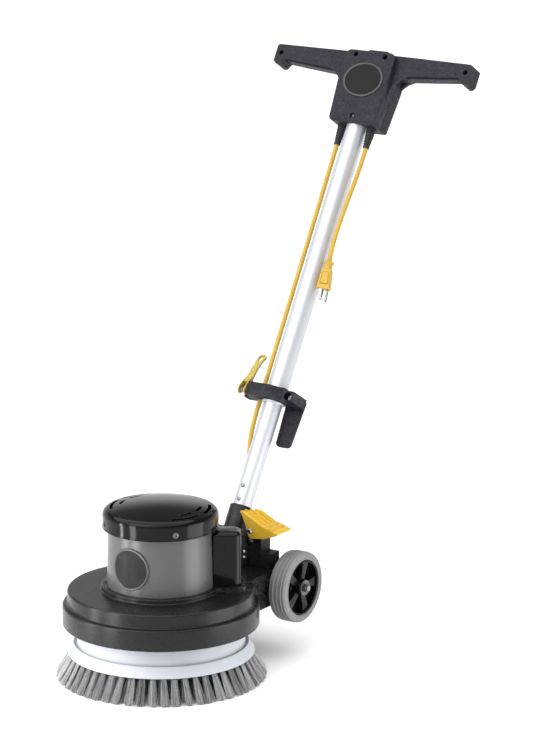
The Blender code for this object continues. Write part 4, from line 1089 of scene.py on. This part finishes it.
def plug_body(place):
    """The plug's moulding: a tapered block with a framed panel on each broad face."""
    sections = [(0.0145, 0.0078, 0.0072), (0.0152, 0.0084, 0.0078), (0.0168, 0.0092, 0.0084),
                (0.0300, 0.0104, 0.0089), (0.0470, 0.0118, 0.0094), (0.0490, 0.0124, 0.0099),
                (0.0512, 0.0124, 0.0099), (0.0520, 0.0117, 0.0092)]
    bm = bmesh.new()
    rings = []
    for height, half_x, half_y in sections:
        outline = rounded(-half_x, half_x, -half_y, half_y, 0.0030, 5)
        rings.append(ring_of(bm, [(x, y, height) for x, y in outline]))
    stitch(bm, rings)
    bm.faces.new(rings[0])
    bm.faces.new(rings[-1])
    body = new_object("plug_moulding", bm, place)
    collar = [
        (0, GAP), (0.0086, GAP), (0.0094, 0.0010), (0.0094, 0.0030), (0.0086, 0.0040),
        (0.0076, 0.0046), (0.0074, 0.0070), (0.0079, 0.0076), (0.0079, 0.0096), (0.0074, 0.0102),
        (0.0072, 0.0170), (0, 0.0170),
    ]
    join(body, turned("collar_tool", collar, place, sides=48))
    for side in (-1, 1):
        panel = softened([(-0.0060, 0.0200), (0.0060, 0.0200), (0.0078, 0.0440),
                          (-0.0078, 0.0440)], 0.003)
        inner = softened([(-0.0050, 0.0212), (0.0050, 0.0212), (0.0067, 0.0428),
                          (-0.0067, 0.0428)], 0.0025)
        lean = place @ Matrix.Rotation(side * 0.030, 4, "X")
        y = sorted((side * 0.0084, side * 0.0130))
        frame_tool = prism("panel_tool", panel, y[0], y[1], lean, "Y")
        cut(frame_tool, prism("inner_tool", inner, y[0] - 0.001, y[1] + 0.001, lean, "Y"))
        cut(body, frame_tool)
    return body


def plug():
    place = HANDLE @ Matrix.Translation(POWER_CORD[-1]) @ Euler(PLUG_TURN).to_matrix().to_4x4()
    body = plug_body(place)
    for y in (-BLADE_SPREAD, BLADE_SPREAD):
        cut(body, box("blade_tool", (-0.0075, -0.0005), (y - 0.0011, y + 0.0011), (0.0450, 0.06),
                      place))
    ground_place = moved(place, 0.0079, 0, 0)
    cut(body, rod("ground_tool", 0.0027, 0.0450, 0.06, ground_place))
    done(body, "upper_handle", "cord_yellow", 0.0003, ["power_plug"])
    pieces = [body]
    for name, y in (("plug_blade_left", -BLADE_SPREAD), ("plug_blade_right", BLADE_SPREAD)):
        tip = softened([(-0.0072, 0.0453), (-0.0008, 0.0453), (-0.0008, 0.0690),
                        (-0.0020, 0.0705), (-0.0060, 0.0705), (-0.0072, 0.0690)], 0.0005, 2)
        blade = prism(name + "_brass", tip, y - 0.00075, y + 0.00075, place, "Y")
        hole = moved(place, -0.0040, 0, 0.0662)
        cut(blade, rod("hole_tool", 0.0016, -0.02, 0.02, hole, "Y"))
        pieces.append(done(blade, "upper_handle", "zinc", 0.0002, [name]))
    pin = [(0, 0.0453), (0.0024, 0.0453), (0.0024, 0.0738), (0.0017, 0.0758), (0, 0.0765)]
    ground = turned("plug_ground_brass", pin, ground_place, sides=32)
    pieces.append(done(ground, "upper_handle", "zinc", 0.0002, ["plug_ground_pin"]))
    return pieces


# ---- floor, light and camera ----
def stage():
    bm = bmesh.new()
    bmesh.ops.create_grid(bm, x_segments=1, y_segments=1, size=14)
    floor = new_object("floor", bm, Matrix.Translation((0, 0, -0.0002)))
    look = Nodes("pale_floor", (0.93, 0.93, 0.93), 0.8)
    look.colour(look.mottle((0.93, 0.93, 0.93), 0.01, 3))
    floor.data.materials.append(look.mat)


def area_light(name, place, target, size, power):
    """A soft box that lights the machine and stays out of the picture itself."""
    light = bpy.data.lights.new(name, "AREA")
    light.shape = "RECTANGLE"
    light.size, light.size_y = size
    light.energy = power
    obj = add_object(name, light)
    obj.location = place
    aim = Vector(target) - Vector(place)
    obj.rotation_euler = aim.to_track_quat("-Z", "Y").to_euler()
    obj.visible_camera = False


def strip_light(name, azimuth, distance, width, height, brightness):
    """An upright soft box on the floor, at an angle from the machine's front."""
    around = math.radians(azimuth)
    place = (distance * math.sin(around), BRUSH_Y - distance * math.cos(around), height / 2)
    power = math.pi * width * height * brightness
    area_light(name, place, (0, BRUSH_Y, height / 2), (width, height), power)


def world():
    """A studio that is white near the floor and dark overhead."""
    room = bpy.data.worlds.new("studio")
    bpy.context.scene.world = room
    room.use_nodes = True
    tree = room.node_tree
    coords = tree.nodes.new("ShaderNodeTexCoord")
    split = tree.nodes.new("ShaderNodeSeparateXYZ")
    fade = tree.nodes.new("ShaderNodeMapRange")
    fade.inputs["From Min"].default_value = 0.20
    fade.inputs["From Max"].default_value = 0.40
    fade.inputs["To Min"].default_value = 1.0
    fade.inputs["To Max"].default_value = 0.22
    back = tree.nodes["Background"]
    tree.links.new(coords.outputs["Generated"], split.inputs["Vector"])
    tree.links.new(split.outputs["Z"], fade.inputs["Value"])
    tree.links.new(fade.outputs["Result"], back.inputs["Strength"])
    back.inputs["Color"].default_value = (1, 1, 1, 1)


def lights():
    world()
    sun = bpy.data.lights.new("overhead", "SUN")
    sun.energy = 3.6
    sun.angle = math.radians(100)
    above = add_object("overhead", sun)
    above.rotation_euler = (math.radians(12), math.radians(-8), 0)
    area_light("key", (-0.6, -2.6, 2.6), (0, 0, 0.5), (2.4, 1.8), 24)
    strip_light("left_strip", -42, 0.60, 0.06, 0.45, 18)
    strip_light("left_strip_wide", -17, 0.60, 0.12, 0.45, 10)
    strip_light("right_box", 104, 0.60, 0.38, 0.45, 3.4)
    bpy.context.scene.view_settings.view_transform = "Standard"


def camera():
    """A view from about 35 degrees right of the front, looking 14 degrees down."""
    azimuth = math.radians(35.184)
    distance = 6.6319
    height = 2.2146
    aim = azimuth - math.radians(1.58)
    pitch = math.radians(14.14)
    data = bpy.data.cameras.new("camera")
    data.sensor_width = 36
    data.lens = 194.39
    data.clip_end = 100
    obj = add_object("camera", data)
    obj.location = (math.sin(azimuth) * distance, BRUSH_Y - math.cos(azimuth) * distance, height)
    look = Vector((-math.sin(aim) * math.cos(pitch), math.cos(aim) * math.cos(pitch),
                   -math.sin(pitch)))
    obj.rotation_euler = look.to_track_quat("-Z", "Y").to_euler()
    bpy.context.scene.camera = obj


def main():
    camera()
    paint_cad_nodes()
    power_cord(plug())
    motor_cord()
    deck()
    motor()
    capacitor()
    motor_badge()
    brush_block()
    bristle_tufts()
    for side in (-1, 1):
        wheel(side)
    bracket()
    pedal()
    yoke()
    tubes()
    clamp()
    cam_lever()
    head()
    head_plate()
    controls()
    stage()
    lights()


main()
